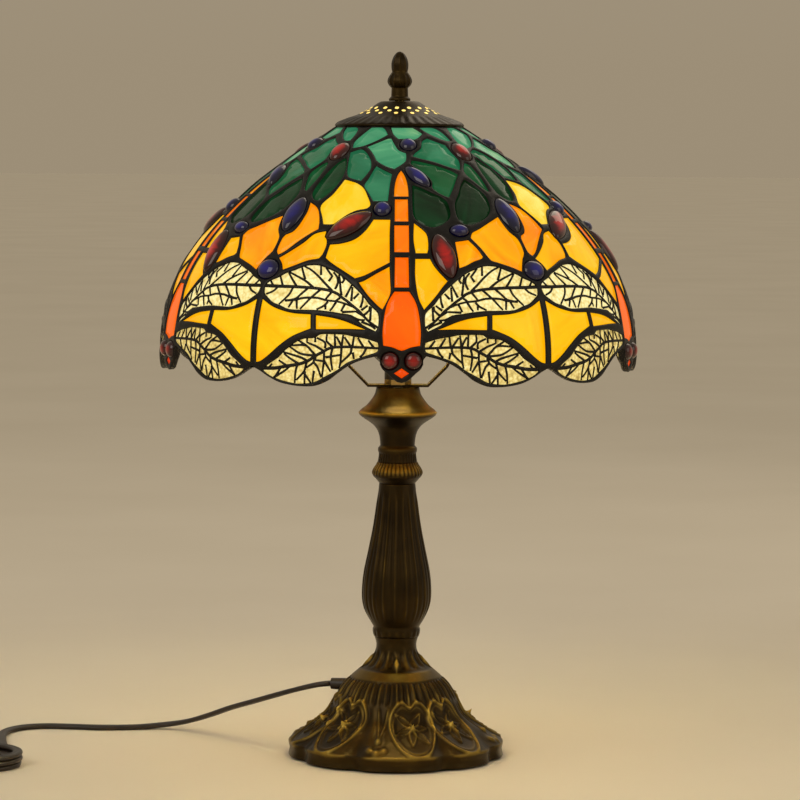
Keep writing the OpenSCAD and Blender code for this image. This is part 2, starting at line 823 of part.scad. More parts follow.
module switch_top() {
    color("#16120f")
        difference() {
            switch_body(switch_split, switch_h - switch_split);
            at_switch(switch_split)
                cube([12, 20, 20], center = true);
            switch_screw_pair(2, screw_r, 20);
            at_switch(rocker_z)
                rotate([0, 90, 0])
                    cylinder(r = rocker_pin_r + fit, h = 18, center = true);
        }
}

module switch_screws() {
    color("#9c9a92")
        switch_screw_pair(3, screw_r, switch_h - 3);
}

module switch_rocker() {
    half = 5.7;
    color("#0c0b0a")
        at_switch(rocker_z) {
            translate([half, 0, 0])
                rotate([90, 0, -90])
                    linear_extrude(2 * half)
                        polygon([[-8.8, 0.9], [0, 1.6], [8.6, 5.4], [8.9, 3.8], [7, -0.4],
                            [3, -3.6], [-3, -3.6], [-7, -2.4]]);
            rotate([0, 90, 0])
                cylinder(r = rocker_pin_r, h = 17, center = true);
        }
}

// Puts children at the plug, +Z the way its blades point
module at_plug() {
    translate([plug_at[0], plug_at[1], plug_z])
        rotate([90, 0, 0])
            children();
}

module plug_body() {
    color("#16120f")
        at_plug()
            difference() {
                rotate_extrude()
                    polygon([[0, 0], [4.4, 0], [5.2, 6], [8.4, 13], [8.8, 26], [8.2, plug_l],
                        [0, plug_l]]);
                for (side = [-1, 1])
                    translate([side * blade_x, 0, plug_l])
                        cube([1.7, 6.6, 18], center = true);
            }
}

module plug_blades() {
    color("#c9a24a")
        at_plug()
            for (side = [-1, 1])
                translate([side * blade_x, 0, plug_l + 3.5])
                    cube([1.5, 6.4, 25], center = true);
}

base_felt();
base_casting();
pipe_nut();
pipe_washer();
threaded_pipe();
column_baluster();
column_collar();
socket_cup();
lead_wires();
harp();
harp_lock_nut();
harp_stud();
shade_rest();
socket_shell();
socket_insulator();
socket_screw_shell();
socket_contact();
bulb_base();
bulb_tip();
bulb_glass();
bulb_stem();
bulb_filaments();
shade_ring();
shade_leading();
glass_crown();
glass_leaves();
glass_amber();
glass_dragonflies();
glass_wings();
wing_filigree();
jewels_red();
jewels_blue();
dragonfly_eyes();
shade_cap();
finial();
cord_bushing();
cord_run();
cord_hank();
cord_tie();
cord_tail();
switch_bottom();
switch_top();
switch_screws();
switch_rocker();
plug_body();
plug_blades();
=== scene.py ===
"""Looks of the leaded-glass dragonfly table lamp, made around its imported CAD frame.

Lengths are millimetres until MM turns them into metres. A place on the shade is (angle, drop):
degrees round from the front, and millimetres down the dome from the edge of its crown.
"""

import math
import random

import bmesh
import bpy
import numpy as np
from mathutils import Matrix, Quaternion, Vector, geometry, kdtree


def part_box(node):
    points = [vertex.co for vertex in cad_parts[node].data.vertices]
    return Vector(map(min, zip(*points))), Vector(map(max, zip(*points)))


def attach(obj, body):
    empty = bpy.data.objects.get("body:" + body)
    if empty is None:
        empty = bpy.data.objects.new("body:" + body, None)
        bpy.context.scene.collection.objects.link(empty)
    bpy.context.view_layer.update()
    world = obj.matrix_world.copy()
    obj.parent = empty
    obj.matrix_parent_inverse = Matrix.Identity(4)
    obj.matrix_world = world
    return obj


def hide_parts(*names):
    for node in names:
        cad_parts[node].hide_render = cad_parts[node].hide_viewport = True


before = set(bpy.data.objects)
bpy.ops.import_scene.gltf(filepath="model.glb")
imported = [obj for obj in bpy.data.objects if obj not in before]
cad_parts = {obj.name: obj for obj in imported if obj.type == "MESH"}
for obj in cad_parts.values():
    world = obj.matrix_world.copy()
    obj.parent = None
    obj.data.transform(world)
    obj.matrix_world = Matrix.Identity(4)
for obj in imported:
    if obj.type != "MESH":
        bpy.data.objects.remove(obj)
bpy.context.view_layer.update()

MM = 0.001
RAD = math.pi / 180
PANELS = 5
PANEL_TURN = 360 / PANELS


# ------------------------------------------------------------------ camera
# The camera stands level with the shade's crown and looks a little down at AIM.
CAMERA_RANGE = 2150
CAMERA_HEIGHT = 398
CAMERA_TURN = -0.8
CAMERA_ROLL = 0.36
CAMERA_LENS = 152.3
AIM = Vector((1.4, 0, 228.4))


def make_camera():
    data = bpy.data.cameras.new("camera")
    data.lens = CAMERA_LENS
    data.sensor_width = 36
    data.clip_end = 50
    camera = bpy.data.objects.new("camera", data)
    bpy.context.scene.collection.objects.link(camera)
    turn = CAMERA_TURN * RAD
    place = Vector((CAMERA_RANGE * math.sin(turn), -CAMERA_RANGE * math.cos(turn), CAMERA_HEIGHT))
    camera.location = place * MM
    camera.rotation_mode = "QUATERNION"
    roll = Quaternion((0, 0, 1), CAMERA_ROLL * RAD)
    camera.rotation_quaternion = (AIM - place).to_track_quat("-Z", "Y") @ roll
    bpy.context.scene.camera = camera


# ------------------------------------------------------------------ lines and meshes
def curve_through(points, step, closed=False, corner=50):
    """Points about a step apart on a smooth line through the given ones, sharp where it turns
    by more than the corner angle."""
    p = np.array(points, float)
    n = len(p)
    last = n if closed else n - 1
    sides = [p[(i + 1) % n] - p[i] for i in range(last)]
    longs = [max(np.linalg.norm(v), 1e-9) for v in sides]
    tangents = []
    for i in range(n):
        before, after = (i - 1) % n, i % n
        if not closed and i in (0, n - 1):
            tangents.append(None)
            continue
        u, v = sides[before] / longs[before], sides[after] / longs[after]
        sharp = np.dot(u, v) < math.cos(corner * RAD)
        tangents.append(None if sharp else (sides[before] + sides[after])
                        / (longs[before] + longs[after]))
    out = []
    for i in range(last):
        a, b, long = p[i], p[(i + 1) % n], longs[i]
        straight = sides[i] / long
        ta, tb = tangents[i], tangents[(i + 1) % n]
        ta = (straight if ta is None else ta) * long
        tb = (straight if tb is None else tb) * long
        count = max(1, round(long / step))
        for k in range(count):
            t = k / count
            out.append((2 * t**3 - 3 * t * t + 1) * a + (t**3 - 2 * t * t + t) * ta
                       + (3 * t * t - 2 * t**3) * b + (t**3 - t * t) * tb)
    if not closed:
        out.append(p[-1])
    return np.array(out)


def make_mesh(name, verts, faces, material, weld=0.0, attributes=None, smooth=True):
    """A mesh object whose vertices are given in millimetres."""
    mesh = bpy.data.meshes.new(name)
    mesh.from_pydata((np.array(verts) * MM).tolist(), [], [list(map(int, f)) for f in faces])
    for key, values in (attributes or {}).items():
        values = np.array(values, np.float32)
        if values.ndim == 1:
            mesh.attributes.new(key, "FLOAT", "POINT").data.foreach_set("value", values)
        else:
            mesh.attributes.new(key, "FLOAT_VECTOR", "POINT").data.foreach_set(
                "vector", values.ravel())
    if weld:
        shape = bmesh.new()
        shape.from_mesh(mesh)
        bmesh.ops.remove_doubles(shape, verts=shape.verts, dist=weld * MM)
        bmesh.ops.recalc_face_normals(shape, faces=shape.faces)
        shape.to_mesh(mesh)
        shape.free()
    mesh.polygons.foreach_set("use_smooth", [smooth] * len(mesh.polygons))
    mesh.materials.append(material)
    thing = bpy.data.objects.new(name, mesh)
    bpy.context.scene.collection.objects.link(thing)
    return thing


def bands(start, rows, count, flip=False, closed=False):
    """Quads between rows of count vertices from start on, where each row is a closed loop."""
    faces = []
    for row in range(rows if closed else rows - 1):
        here = start + row * count
        there = start + (row + 1) % rows * count
        for i in range(count):
            j = (i + 1) % count
            if flip:
                faces.append([here + i, there + i, there + j, here + j])
            else:
                faces.append([here + i, here + j, there + j, there + i])
    return faces


def unit_rows(vectors):
    return vectors / np.maximum(np.linalg.norm(vectors, axis=1), 1e-9)[:, None]


def settle(thing, body, slot, *nodes):
    """Makes a piece ride on a body and stand for CAD nodes, whose parts it hides. The slot is not used.
    """
    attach(thing, body)
    if nodes:
        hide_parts(*nodes)
    return thing


def smooth_step(x):
    x = np.clip(x, 0, 1)
    return x * x * (3 - 2 * x)


def between(x, low, rise, high, fall):
    """0 outside low and high, and 1 once x is past low by rise and short of high by fall."""
    return smooth_step((x - low) / rise) * smooth_step((high - x) / fall)


def bump_at(x, width):
    """1 at zero, falling away evenly on both sides."""
    return np.exp(-(x / width) ** 2)


# ------------------------------------------------------------------ materials
def new_material(name, roughness=0.5, metallic=0.0):
    material = bpy.data.materials.new(name)
    material.use_nodes = True
    tree = material.node_tree
    shader = tree.nodes["Principled BSDF"]
    shader.inputs["Roughness"].default_value = roughness
    shader.inputs["Metallic"].default_value = metallic
    return material, tree, shader


def add_noise(tree, scale, detail=3.0, vector=None, distortion=0.0, stretch=None):
    noise = tree.nodes.new("ShaderNodeTexNoise")
    noise.inputs["Scale"].default_value = scale
    noise.inputs["Detail"].default_value = detail
    noise.inputs["Distortion"].default_value = distortion
    if vector is None:
        vector = tree.nodes.new("ShaderNodeTexCoord").outputs["Object"]
    if stretch:
        mapping = tree.nodes.new("ShaderNodeMapping")
        mapping.inputs["Scale"].default_value = stretch
        tree.links.new(vector, mapping.inputs["Vector"])
        vector = mapping.outputs["Vector"]
    tree.links.new(vector, noise.inputs["Vector"])
    return noise.outputs["Fac"]


def add_ramp(tree, factor, stops):
    ramp = tree.nodes.new("ShaderNodeValToRGB")
    elements = ramp.color_ramp.elements
    while len(elements) < len(stops):
        elements.new(0.5)
    for element, (place, colour) in zip(elements, stops):
        element.position = place
        element.color = (*colour, 1)
    tree.links.new(factor, ramp.inputs["Fac"])
    return ramp.outputs["Color"]


def add_math(tree, kind, a, b):
    node = tree.nodes.new("ShaderNodeMath")
    node.operation = kind
    for socket, value in zip(node.inputs, (a, b)):
        if isinstance(value, (int, float)):
            socket.default_value = value
        else:
            tree.links.new(value, socket)
    return node.outputs[0]


def add_bump(tree, shader, height, strength, distance):
    bump = tree.nodes.new("ShaderNodeBump")
    bump.inputs["Strength"].default_value = strength
    bump.inputs["Distance"].default_value = distance
    tree.links.new(height, bump.inputs["Height"])
    tree.links.new(bump.outputs["Normal"], shader.inputs["Normal"])


def add_attribute(tree, name):
    node = tree.nodes.new("ShaderNodeAttribute")
    node.attribute_name = name
    return node


def mottled(name, dark, light, roughness, metallic=0.0, scale=60.0, bump=0.15, grain=900.0,
            rough_spread=0.12, stretch=None):
    """A surface whose colour and roughness wander between two tones, over a fine grain."""
    material, tree, shader = new_material(name, roughness, metallic)
    wander = add_noise(tree, scale, 5, stretch=stretch)
    tree.links.new(add_ramp(tree, wander, [(0.32, dark), (0.68, light)]), shader.inputs["Base Color"])
    fine = add_noise(tree, grain, 2, stretch=stretch)
    rough = add_math(tree, "MULTIPLY_ADD", wander, rough_spread)
    rough.node.inputs[2].default_value = roughness - rough_spread / 2
    tree.links.new(rough, shader.inputs["Roughness"])
    add_bump(tree, shader, fine, bump, 0.0002)
    return material


def bronze_material():
    """Dark brown patina, rubbed through to brass where the wear attribute is high."""
    material, tree, shader = new_material("antique_bronze", 0.36, 0.85)
    wear = add_attribute(tree, "wear").outputs["Fac"]
    patches = add_noise(tree, 55, 6)
    mixed = add_math(tree, "ADD", add_math(tree, "MULTIPLY", wear, 0.62),
                     add_math(tree, "MULTIPLY", patches, 0.42))
    colour = add_ramp(tree, mixed, [(0.12, (0.014, 0.008, 0.002)), (0.36, (0.045, 0.027, 0.005)),
                                    (0.58, (0.20, 0.13, 0.022)), (0.88, (0.52, 0.355, 0.06))])
    tree.links.new(colour, shader.inputs["Base Color"])
    rough = add_math(tree, "MULTIPLY_ADD", patches, 0.26)
    rough.node.inputs[2].default_value = 0.24
    tree.links.new(rough, shader.inputs["Roughness"])
    add_bump(tree, shader, add_noise(tree, 700, 4), 0.22, 0.0003)
    return material


# How much of its colour lit glass shows by reflected light, and how much it mirrors
FACE_SHARE = 0.25
FACE_SHEEN = 0.15


def light_it(tree, shader, colour, glow):
    """Glass with a lamp behind it: mostly a painted glow, an emission in the glass's own colour that
    stands in for the bulb's light shining through it, and a little of the room's light.
    """
    face = tree.nodes.new("ShaderNodeVectorMath")
    face.operation = "SCALE"
    face.inputs["Scale"].default_value = FACE_SHARE
    tree.links.new(colour, face.inputs[0])
    tree.links.new(face.outputs["Vector"], shader.inputs["Base Color"])
    # Painted light: the glass's colour is given off as emission, standing in for the bulb's light
    # through it.
    tree.links.new(colour, shader.inputs["Emission Color"])
    shader.inputs["Emission Strength"].default_value = glow
    shader.inputs["Specular IOR Level"].default_value = FACE_SHEEN


def sheet_glass(name, stops, glow, wander=0.42, ripple=0.35):
    """Streaky opalescent sheet glass, with a painted glow standing in for the lamplight coming through
    from behind.
    Each piece has its own tone, and its own way for the streaks to run in the flow attribute."""
    material, tree, shader = new_material(name, 0.2)
    flow = add_attribute(tree, "flow").outputs["Vector"]
    tone = add_attribute(tree, "tone").outputs["Fac"]
    streak = add_noise(tree, 46, 5, flow, 1.6, (1.0, 0.28, 1.0))
    cloud = add_noise(tree, 17, 3, flow, 0.8)
    swing = add_math(tree, "MULTIPLY", add_math(tree, "SUBTRACT", streak, 0.5), wander * 2.2)
    drift = add_math(tree, "MULTIPLY", add_math(tree, "SUBTRACT", cloud, 0.5), wander * 1.5)
    place = add_math(tree, "ADD", tone, add_math(tree, "ADD", swing, drift))
    colour = add_ramp(tree, place, stops)
    light_it(tree, shader, colour, glow)
    shader.inputs["Coat Weight"].default_value = 0.3
    shader.inputs["Coat Roughness"].default_value = 0.06
    waves = add_math(tree, "ADD", add_noise(tree, 110, 2), add_math(
        tree, "MULTIPLY", add_noise(tree, 420, 3), 0.35))
    add_bump(tree, shader, waves, ripple, 0.0011)
    return material


def hammered_glass():
    """Clear hammered sheet over a warm bulb: its cream is a painted glow for the bulb's light through
    the clear glass, with the dimples as a fine speckle in that glow.
    """
    material, tree, shader = new_material("clear_hammered_glass", 0.12)
    tone = add_attribute(tree, "tone").outputs["Fac"]
    cells = tree.nodes.new("ShaderNodeTexVoronoi")
    cells.inputs["Scale"].default_value = 520
    tree.links.new(tree.nodes.new("ShaderNodeTexCoord").outputs["Object"], cells.inputs["Vector"])
    speckle = add_math(tree, "MULTIPLY", cells.outputs["Distance"], 0.5)
    cloud = add_noise(tree, 260, 4)
    place = add_math(tree, "ADD", add_math(tree, "SUBTRACT", tone, speckle),
                     add_math(tree, "MULTIPLY", cloud, 0.55))
    colour = add_ramp(tree, place, [(0.1, (0.30, 0.19, 0.04)), (0.42, (0.74, 0.56, 0.17)),
                                    (0.68, (0.96, 0.83, 0.36)), (0.95, (1.0, 0.95, 0.58))])
    light_it(tree, shader, colour, 1.0)
    shader.inputs["Coat Weight"].default_value = 0.6
    shader.inputs["Coat Roughness"].default_value = 0.04
    add_bump(tree, shader, cells.outputs["Distance"], 0.6, 0.0006)
    return material


def jewel_glass(name, deep, bright, glow):
    """A polished pressed stone with painted light: a painted glow in its middle that falls to painted
    shade at its rim.
    """
    material, tree, shader = new_material(name, 0.08)
    painted_glow = add_attribute(tree, "tone").outputs["Fac"]
    swirl = add_noise(tree, 90, 4, distortion=1.2)
    place = add_math(tree, "ADD", add_math(tree, "MULTIPLY", painted_glow, 0.75),
                     add_math(tree, "MULTIPLY", add_math(tree, "SUBTRACT", swirl, 0.5), 0.7))
    colour = add_ramp(tree, place, [(0.05, tuple(c * 0.25 for c in deep)), (0.4, deep), (0.95, bright)])
    light_it(tree, shader, colour, glow)
    shader.inputs["Coat Weight"].default_value = 1.0
    shader.inputs["Coat Roughness"].default_value = 0.02
    add_bump(tree, shader, add_noise(tree, 160, 2), 0.12, 0.0006)
    return material


def glowing(name, colour, strength, scale=200.0):
    """A glowing surface with a faint unevenness: the bulb's glass, stem and filament, and the painted
    lamplight in the cap's vents.
    """
    material, tree, shader = new_material(name, 0.35)
    paler = tuple(min(1.0, c * 1.15 + 0.03) for c in colour)
    ramp = add_ramp(tree, add_noise(tree, scale, 2), [(0.3, colour), (0.7, paler)])
    tree.links.new(ramp, shader.inputs["Base Color"])
    tree.links.new(ramp, shader.inputs["Emission Color"])
    shader.inputs["Emission Strength"].default_value = strength
    return material


def make_materials():
    return {
        "bronze": bronze_material(),
        # The glass and the stones below glow: painted light standing in for the bulb's light through
        # them.
        "crown": sheet_glass("light_green_glass", [
            (0.0, (0.008, 0.10, 0.035)), (0.35, (0.016, 0.21, 0.085)), (0.65, (0.05, 0.36, 0.17)),
            (0.9, (0.12, 0.53, 0.25)), (1.0, (0.25, 0.66, 0.30))], 0.55),
        "leaves": sheet_glass("deep_green_glass", [
            (0.0, (0.001, 0.018, 0.003)), (0.25, (0.002, 0.05, 0.012)), (0.5, (0.009, 0.125, 0.035)),
            (0.72, (0.022, 0.21, 0.095)), (1.0, (0.06, 0.34, 0.16))], 0.6, 0.3),
        "amber": sheet_glass("amber_glass", [
            (0.0, (0.95, 0.13, 0.0)), (0.3, (1.0, 0.27, 0.0)), (0.55, (1.0, 0.44, 0.0)),
            (0.8, (1.0, 0.57, 0.004)), (1.0, (1.0, 0.70, 0.07))], 0.96, 0.3),
        "body": sheet_glass("orange_glass", [
            (0.0, (0.66, 0.02, 0.0)), (0.4, (1.0, 0.125, 0.0)), (0.75, (1.0, 0.205, 0.0)),
            (1.0, (1.0, 0.37, 0.006))], 0.92, 0.16, 0.2),
        "wing": hammered_glass(),
        "ruby": jewel_glass("ruby_glass", (0.05, 0.0, 0.0), (0.62, 0.006, 0.003), 0.8),
        "cobalt": jewel_glass("cobalt_glass", (0.002, 0.001, 0.03), (0.005, 0.003, 0.15), 0.8),
        "eye": jewel_glass("eye_glass", (0.035, 0.0, 0.0), (0.36, 0.004, 0.002), 0.8),
        "solder": mottled("black_solder", (0.003, 0.0025, 0.002), (0.009, 0.007, 0.005), 0.42, 0.4,
                          140, 0.3, 500),
        "filigree": mottled("black_filigree", (0.006, 0.005, 0.004), (0.016, 0.013, 0.009), 0.4,
                            0.5, 200, 0.2, 800),
        "harp": mottled("bronze_lacquer", (0.012, 0.008, 0.003), (0.035, 0.022, 0.007), 0.4, 0.7),
        "brass": mottled("brass", (0.42, 0.28, 0.09), (0.62, 0.44, 0.17), 0.28, 1.0, 90),
        "brass_dark": mottled("darkened_brass", (0.08, 0.05, 0.02), (0.2, 0.13, 0.05), 0.4, 0.9),
        "steel": mottled("zinc_plate", (0.42, 0.42, 0.41), (0.6, 0.6, 0.58), 0.32, 1.0, 120),
        "felt": mottled("green_felt", (0.01, 0.02, 0.012), (0.03, 0.05, 0.03), 0.95, 0.0, 300,
                        0.9, 2600),
        "wire": mottled("gold_insulation", (0.4, 0.3, 0.1), (0.55, 0.42, 0.18), 0.4),
        "phenolic": mottled("black_phenolic", (0.006, 0.006, 0.006), (0.016, 0.015, 0.014), 0.38,
                            0.0, 150),
        "porcelain": mottled("porcelain", (0.72, 0.70, 0.64), (0.82, 0.80, 0.75), 0.2, 0.0, 40),
        "nickel": mottled("bulb_nickel", (0.55, 0.54, 0.5), (0.72, 0.71, 0.67), 0.25, 1.0, 140),
        "cord": mottled("brown_vinyl", (0.012, 0.007, 0.004), (0.026, 0.015, 0.008), 0.4, 0.0,
                        70, 0.25, 600),
        "tie": mottled("black_tie", (0.008, 0.008, 0.008), (0.02, 0.02, 0.02), 0.45),
        "plastic": mottled("brown_moulding", (0.014, 0.009, 0.006), (0.026, 0.016, 0.010), 0.36,
                           0.0, 80, 0.35, 1500),
        "rocker": mottled("gloss_black", (0.006, 0.006, 0.006), (0.014, 0.014, 0.014), 0.18),
        "bulb": glowing("frosted_bulb", (1.0, 0.76, 0.38), 45.0),
        "stem": glowing("stem_glass", (1.0, 0.85, 0.6), 1.0),
        # Painted lamplight: the cap's vents glow, though they are no lamp.
        "vent": glowing("light_in_vents", (1.0, 0.66, 0.16), 1.0),
        "filament": glowing("filament", (1.0, 0.62, 0.25), 40.0),
    }


CAD_MATERIALS = {
    "felt": ["base_felt"], "brass": ["pipe_nut", "harp_lock_nut", "harp_stud",
                                     "socket_screw_shell", "socket_contact", "bulb_tip",
                                     "plug_blades"],
    "steel": ["pipe_washer", "threaded_pipe", "switch_screws"], "wire": ["lead_wires"],
    "harp": ["harp", "shade_rest"], "phenolic": ["socket_shell"], "cord": ["cord_bushing"],
    "porcelain": ["socket_insulator"], "nickel": ["bulb_base"], "bulb": ["bulb_glass"],
    "stem": ["bulb_stem"], "filament": ["bulb_filaments"], "brass_dark": ["shade_ring"],
    "tie": ["cord_tie"], "plastic": ["switch_bottom", "switch_top", "plug_body"],
    "rocker": ["switch_rocker"]}


def finish_cad_nodes(materials):
    """Gives every CAD node that is shown its own material."""
    for key, names in CAD_MATERIALS.items():
        for name in names:
            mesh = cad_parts[name].data
            mesh.materials.clear()
            mesh.materials.append(materials[key])


# ------------------------------------------------------------------ cord
CORD_T = 3.2
LIE_Z = CORD_T / 2 + 0.1
RUN_ROUTE = [[-42, 12, 44], [-50, 14.5, 42.8], [-64, 21, 38.5], [-78, 31, 33], [-92, 43, 27],
             [-108, 58, 20], [-124, 73, 12], [-139, 84, 6], [-154, 89, 3], [-172, 87, LIE_Z],
             [-195, 85, LIE_Z], [-214, 88, LIE_Z], [-232, 90, LIE_Z], [-246, 85, LIE_Z],
             [-255, 74, LIE_Z], [-258, 60, LIE_Z], [-257, 40, LIE_Z], [-254, 20, LIE_Z],
             [-250, 2, LIE_Z], [-245.5, -14, LIE_Z], [-241, -28, LIE_Z]]
HANK_AT = (-292, -44)
HANK_STRAIGHT = 56
LANE_IN = 19.2
LANE_OUT = 25.8
LAYER = CORD_T + 0.1
HANK_TURNS = 4.5
HANK_STEPS = 48
SWITCH_AT = (-346, 34)
SWITCH_L = 48
PLUG_AT = (-291, 56)
PLUG_Z = 9


def hank_place(progress, radius):
    """A place on the hank's track: turns made clockwise from its right end, and the lane."""
    quarter = math.pi / 2 * (LANE_IN + LANE_OUT) / 2
    sections = [quarter, HANK_STRAIGHT, 2 * quarter, HANK_STRAIGHT, quarter]
    along = (progress % 1) * sum(sections)
    right = HANK_AT[0] + HANK_STRAIGHT / 2
    left = HANK_AT[0] - HANK_STRAIGHT / 2
    for index, long in enumerate(sections):
        if along <= long:
            break
        along -= long
    part = min(along / long, 1)
    if index in (1, 3):
        side = -1 if index == 1 else 1
        x = right - HANK_STRAIGHT * part if index == 1 else left + HANK_STRAIGHT * part
        return x, HANK_AT[1] + side * radius
    start = {0: 0, 2: -90, 4: 90}[index]
    swing = 180 if index == 2 else 90
    angle = (start - swing * part) * RAD
    centre = left if index == 2 else right
    return centre + radius * math.cos(angle), HANK_AT[1] + radius * math.sin(angle)


def hank_route():
    """In across to the inner lane, two layers there, then out again and up in the outer lane.
    Each smooth step is a change of lane or layer, at so many turns and over so many."""
    points = []
    steps = round(HANK_TURNS * HANK_STEPS)
    for i in range(1, steps + 1):
        turns = HANK_TURNS * i / steps
        inward = smooth_step(turns / 0.3) - smooth_step((turns - 2.2) / 0.3)
        radius = LANE_OUT + (LANE_IN - LANE_OUT) * float(inward)
        layer = (smooth_step((turns - 0.98) / 0.2) - smooth_step((turns - 2.32) / 0.25)
                 + smooth_step((turns - 2.74) / 0.17) + smooth_step((turns - 3.72) / 0.2))
        x, y = hank_place(turns, radius)
        points.append([x, y, LIE_Z + LAYER * float(layer)])
    return points


def tail_route():
    """Down from the hank, through the switch, and round in a half turn to the plug."""
    x, y = SWITCH_AT
    turn_r = (PLUG_AT[0] - x) / 2
    top = LIE_Z + 2 * LAYER
    start = [[x, -30, top - 1.6], [x, -16, (top + LIE_Z) / 2 - 0.4], [x, -3, LIE_Z + 0.8],
             [x, y - SWITCH_L / 2, LIE_Z + 0.6], [x, y, LIE_Z + 0.6], [x, y + SWITCH_L / 2, LIE_Z]]
    loop = [[x + turn_r - turn_r * math.cos(i * 22.5 * RAD),
             y + SWITCH_L / 2 + 10 + turn_r * math.sin(i * 22.5 * RAD),
             LIE_Z + (PLUG_Z - LIE_Z) * (i / 8) ** 2] for i in range(9)]
    return start + loop + [[PLUG_AT[0], PLUG_AT[1], PLUG_Z]]


def across_and_up(line):
    """Unit vectors level across a line, and at right angles to it and them, at each point."""
    ahead = np.vstack([line[1:] - line[:-1], line[-1:] - line[-2:-1]])
    behind = np.vstack([ahead[:1], ahead[:-1]])
    along = unit_rows(unit_rows(ahead) + unit_rows(behind))
    side = unit_rows(np.stack([along[:, 1], -along[:, 0], np.zeros(len(along))], 1))
    return side, np.cross(side, along)


def make_cord(materials):
    """The flat lead: two round conductors side by side, swept along the whole route."""
    line = curve_through(RUN_ROUTE + hank_route() + tail_route(), 4, corner=170)
    side, up = across_and_up(line)
    lobe = CORD_T / 2
    ring = [(lobe + lobe * math.cos(a * RAD), lobe * math.sin(a * RAD)) for a in range(-135, 136, 45)]
    ring += [(-x, -y) for x, y in ring]
    count = len(ring)
    verts = [line[i] + side[i] * x + up[i] * y for i in range(len(line)) for x, y in ring]
    faces = bands(0, len(line), count)
    faces += [list(range(count))[::-1], [(len(line) - 1) * count + k for k in range(count)]]
    cord = make_mesh("power_cord", verts, faces, materials["cord"])
    settle(cord, "root", "cord", "cord_run", "cord_hank", "cord_tail")


# ------------------------------------------------------------------ the dome of the shade
SHADE_R = 151.5
BELLY_Z = 262
DOME_PULLS = [[38, 403.5], [106, 361], [SHADE_R, 320], [SHADE_R, BELLY_Z]]
SKIRT_BEND = 130
SKIRT_DROP = 20
LEAD_T = 4.4
GLASS_OUT = -0.8
GLASS_IN = -3.6
JEWEL_RISE = 3.0


def dome_profile():
    """The dome's outer face from its crown down: how far along it, and (radius, height) there."""
    t = np.linspace(0, 1, 240)[:, None]
    a, b, c, d = (np.array(p, float) for p in DOME_PULLS)
    upper = (1 - t) ** 3 * a + 3 * (1 - t) ** 2 * t * b + 3 * (1 - t) * t * t * c + t**3 * d
    bend = np.linspace(0, SKIRT_DROP / SKIRT_BEND, 24)[1:]
    skirt = np.stack([SHADE_R - SKIRT_BEND * (1 - np.cos(bend)), BELLY_Z - SKIRT_BEND * np.sin(bend)], 1)
    curve = np.vstack([upper, skirt])
    run = np.concatenate([[0], np.cumsum(np.linalg.norm(np.diff(curve, axis=0), axis=1))])
    return run, curve


DOME_RUN, DOME_CURVE = dome_profile()


def dome_radius(drop):
    return np.interp(drop, DOME_RUN, DOME_CURVE[:, 0])


def dome_normal(drop):
    """How far the outer face's normal points out, and how far up."""
    slope = [np.interp(drop + 1, DOME_RUN, DOME_CURVE[:, i])
             - np.interp(drop - 1, DOME_RUN, DOME_CURVE[:, i]) for i in (0, 1)]
    size = np.hypot(*slope)
    return -slope[1] / size, slope[0] / size


def on_dome(angle, drop, off=0.0):
    """Points in millimetres, off the dome's outer face along its normal."""
    angle, drop = np.asarray(angle, float) * RAD, np.asarray(drop, float)
    out, rise = dome_normal(drop)
    r = dome_radius(drop) + off * out
    z = np.interp(drop, DOME_RUN, DOME_CURVE[:, 1]) + off * rise
    return np.stack([r * np.sin(angle), -r * np.cos(angle), z], -1)


# ------------------------------------------------------------------ the glass pattern
# One fifth of the shade, centred on a dragonfly: (tone, outline) for each piece of glass.
CROWN = [
    (0.75, [[-26.5, 3], [-15.5, 3], [-12, 6.5], [-9.3, 11.5], [-16.5, 19], [-23, 24.5],
            [-29.3, 27], [-31.7, 20], [-30.2, 12]]),
    (0.8, [[-8.3, 3], [11, 3], [14.5, 6.5], [17.2, 10], [12, 15.5], [9.2, 17.3], [6.8, 16.5],
           [-1.5, 16.5], [-5.3, 11]]),
    (0.7, [[16.4, 3], [30, 3], [34, 6], [36, 11], [36.3, 18.5], [32.3, 18.7], [26, 14],
           [19.5, 7.5]]),
    (0.8, [[-8.6, 15.5], [-6.3, 15.5], [-3.4, 23], [-1, 28.5], [2.9, 31.5], [2.9, 36], [2, 41],
           [-3, 48.5], [-6.7, 46], [-12, 40], [-14, 35], [-17.3, 29], [-20.7, 25]]),
    (0.35, [[19.2, 15], [21.6, 17], [29.3, 22.5], [29.7, 30], [30.7, 38], [29.8, 43], [27.4, 49.5],
            [23, 46.5], [16.3, 41], [9.6, 37.5], [6, 35.3], [7.7, 31.5], [12, 26], [14.4, 18.5]])]
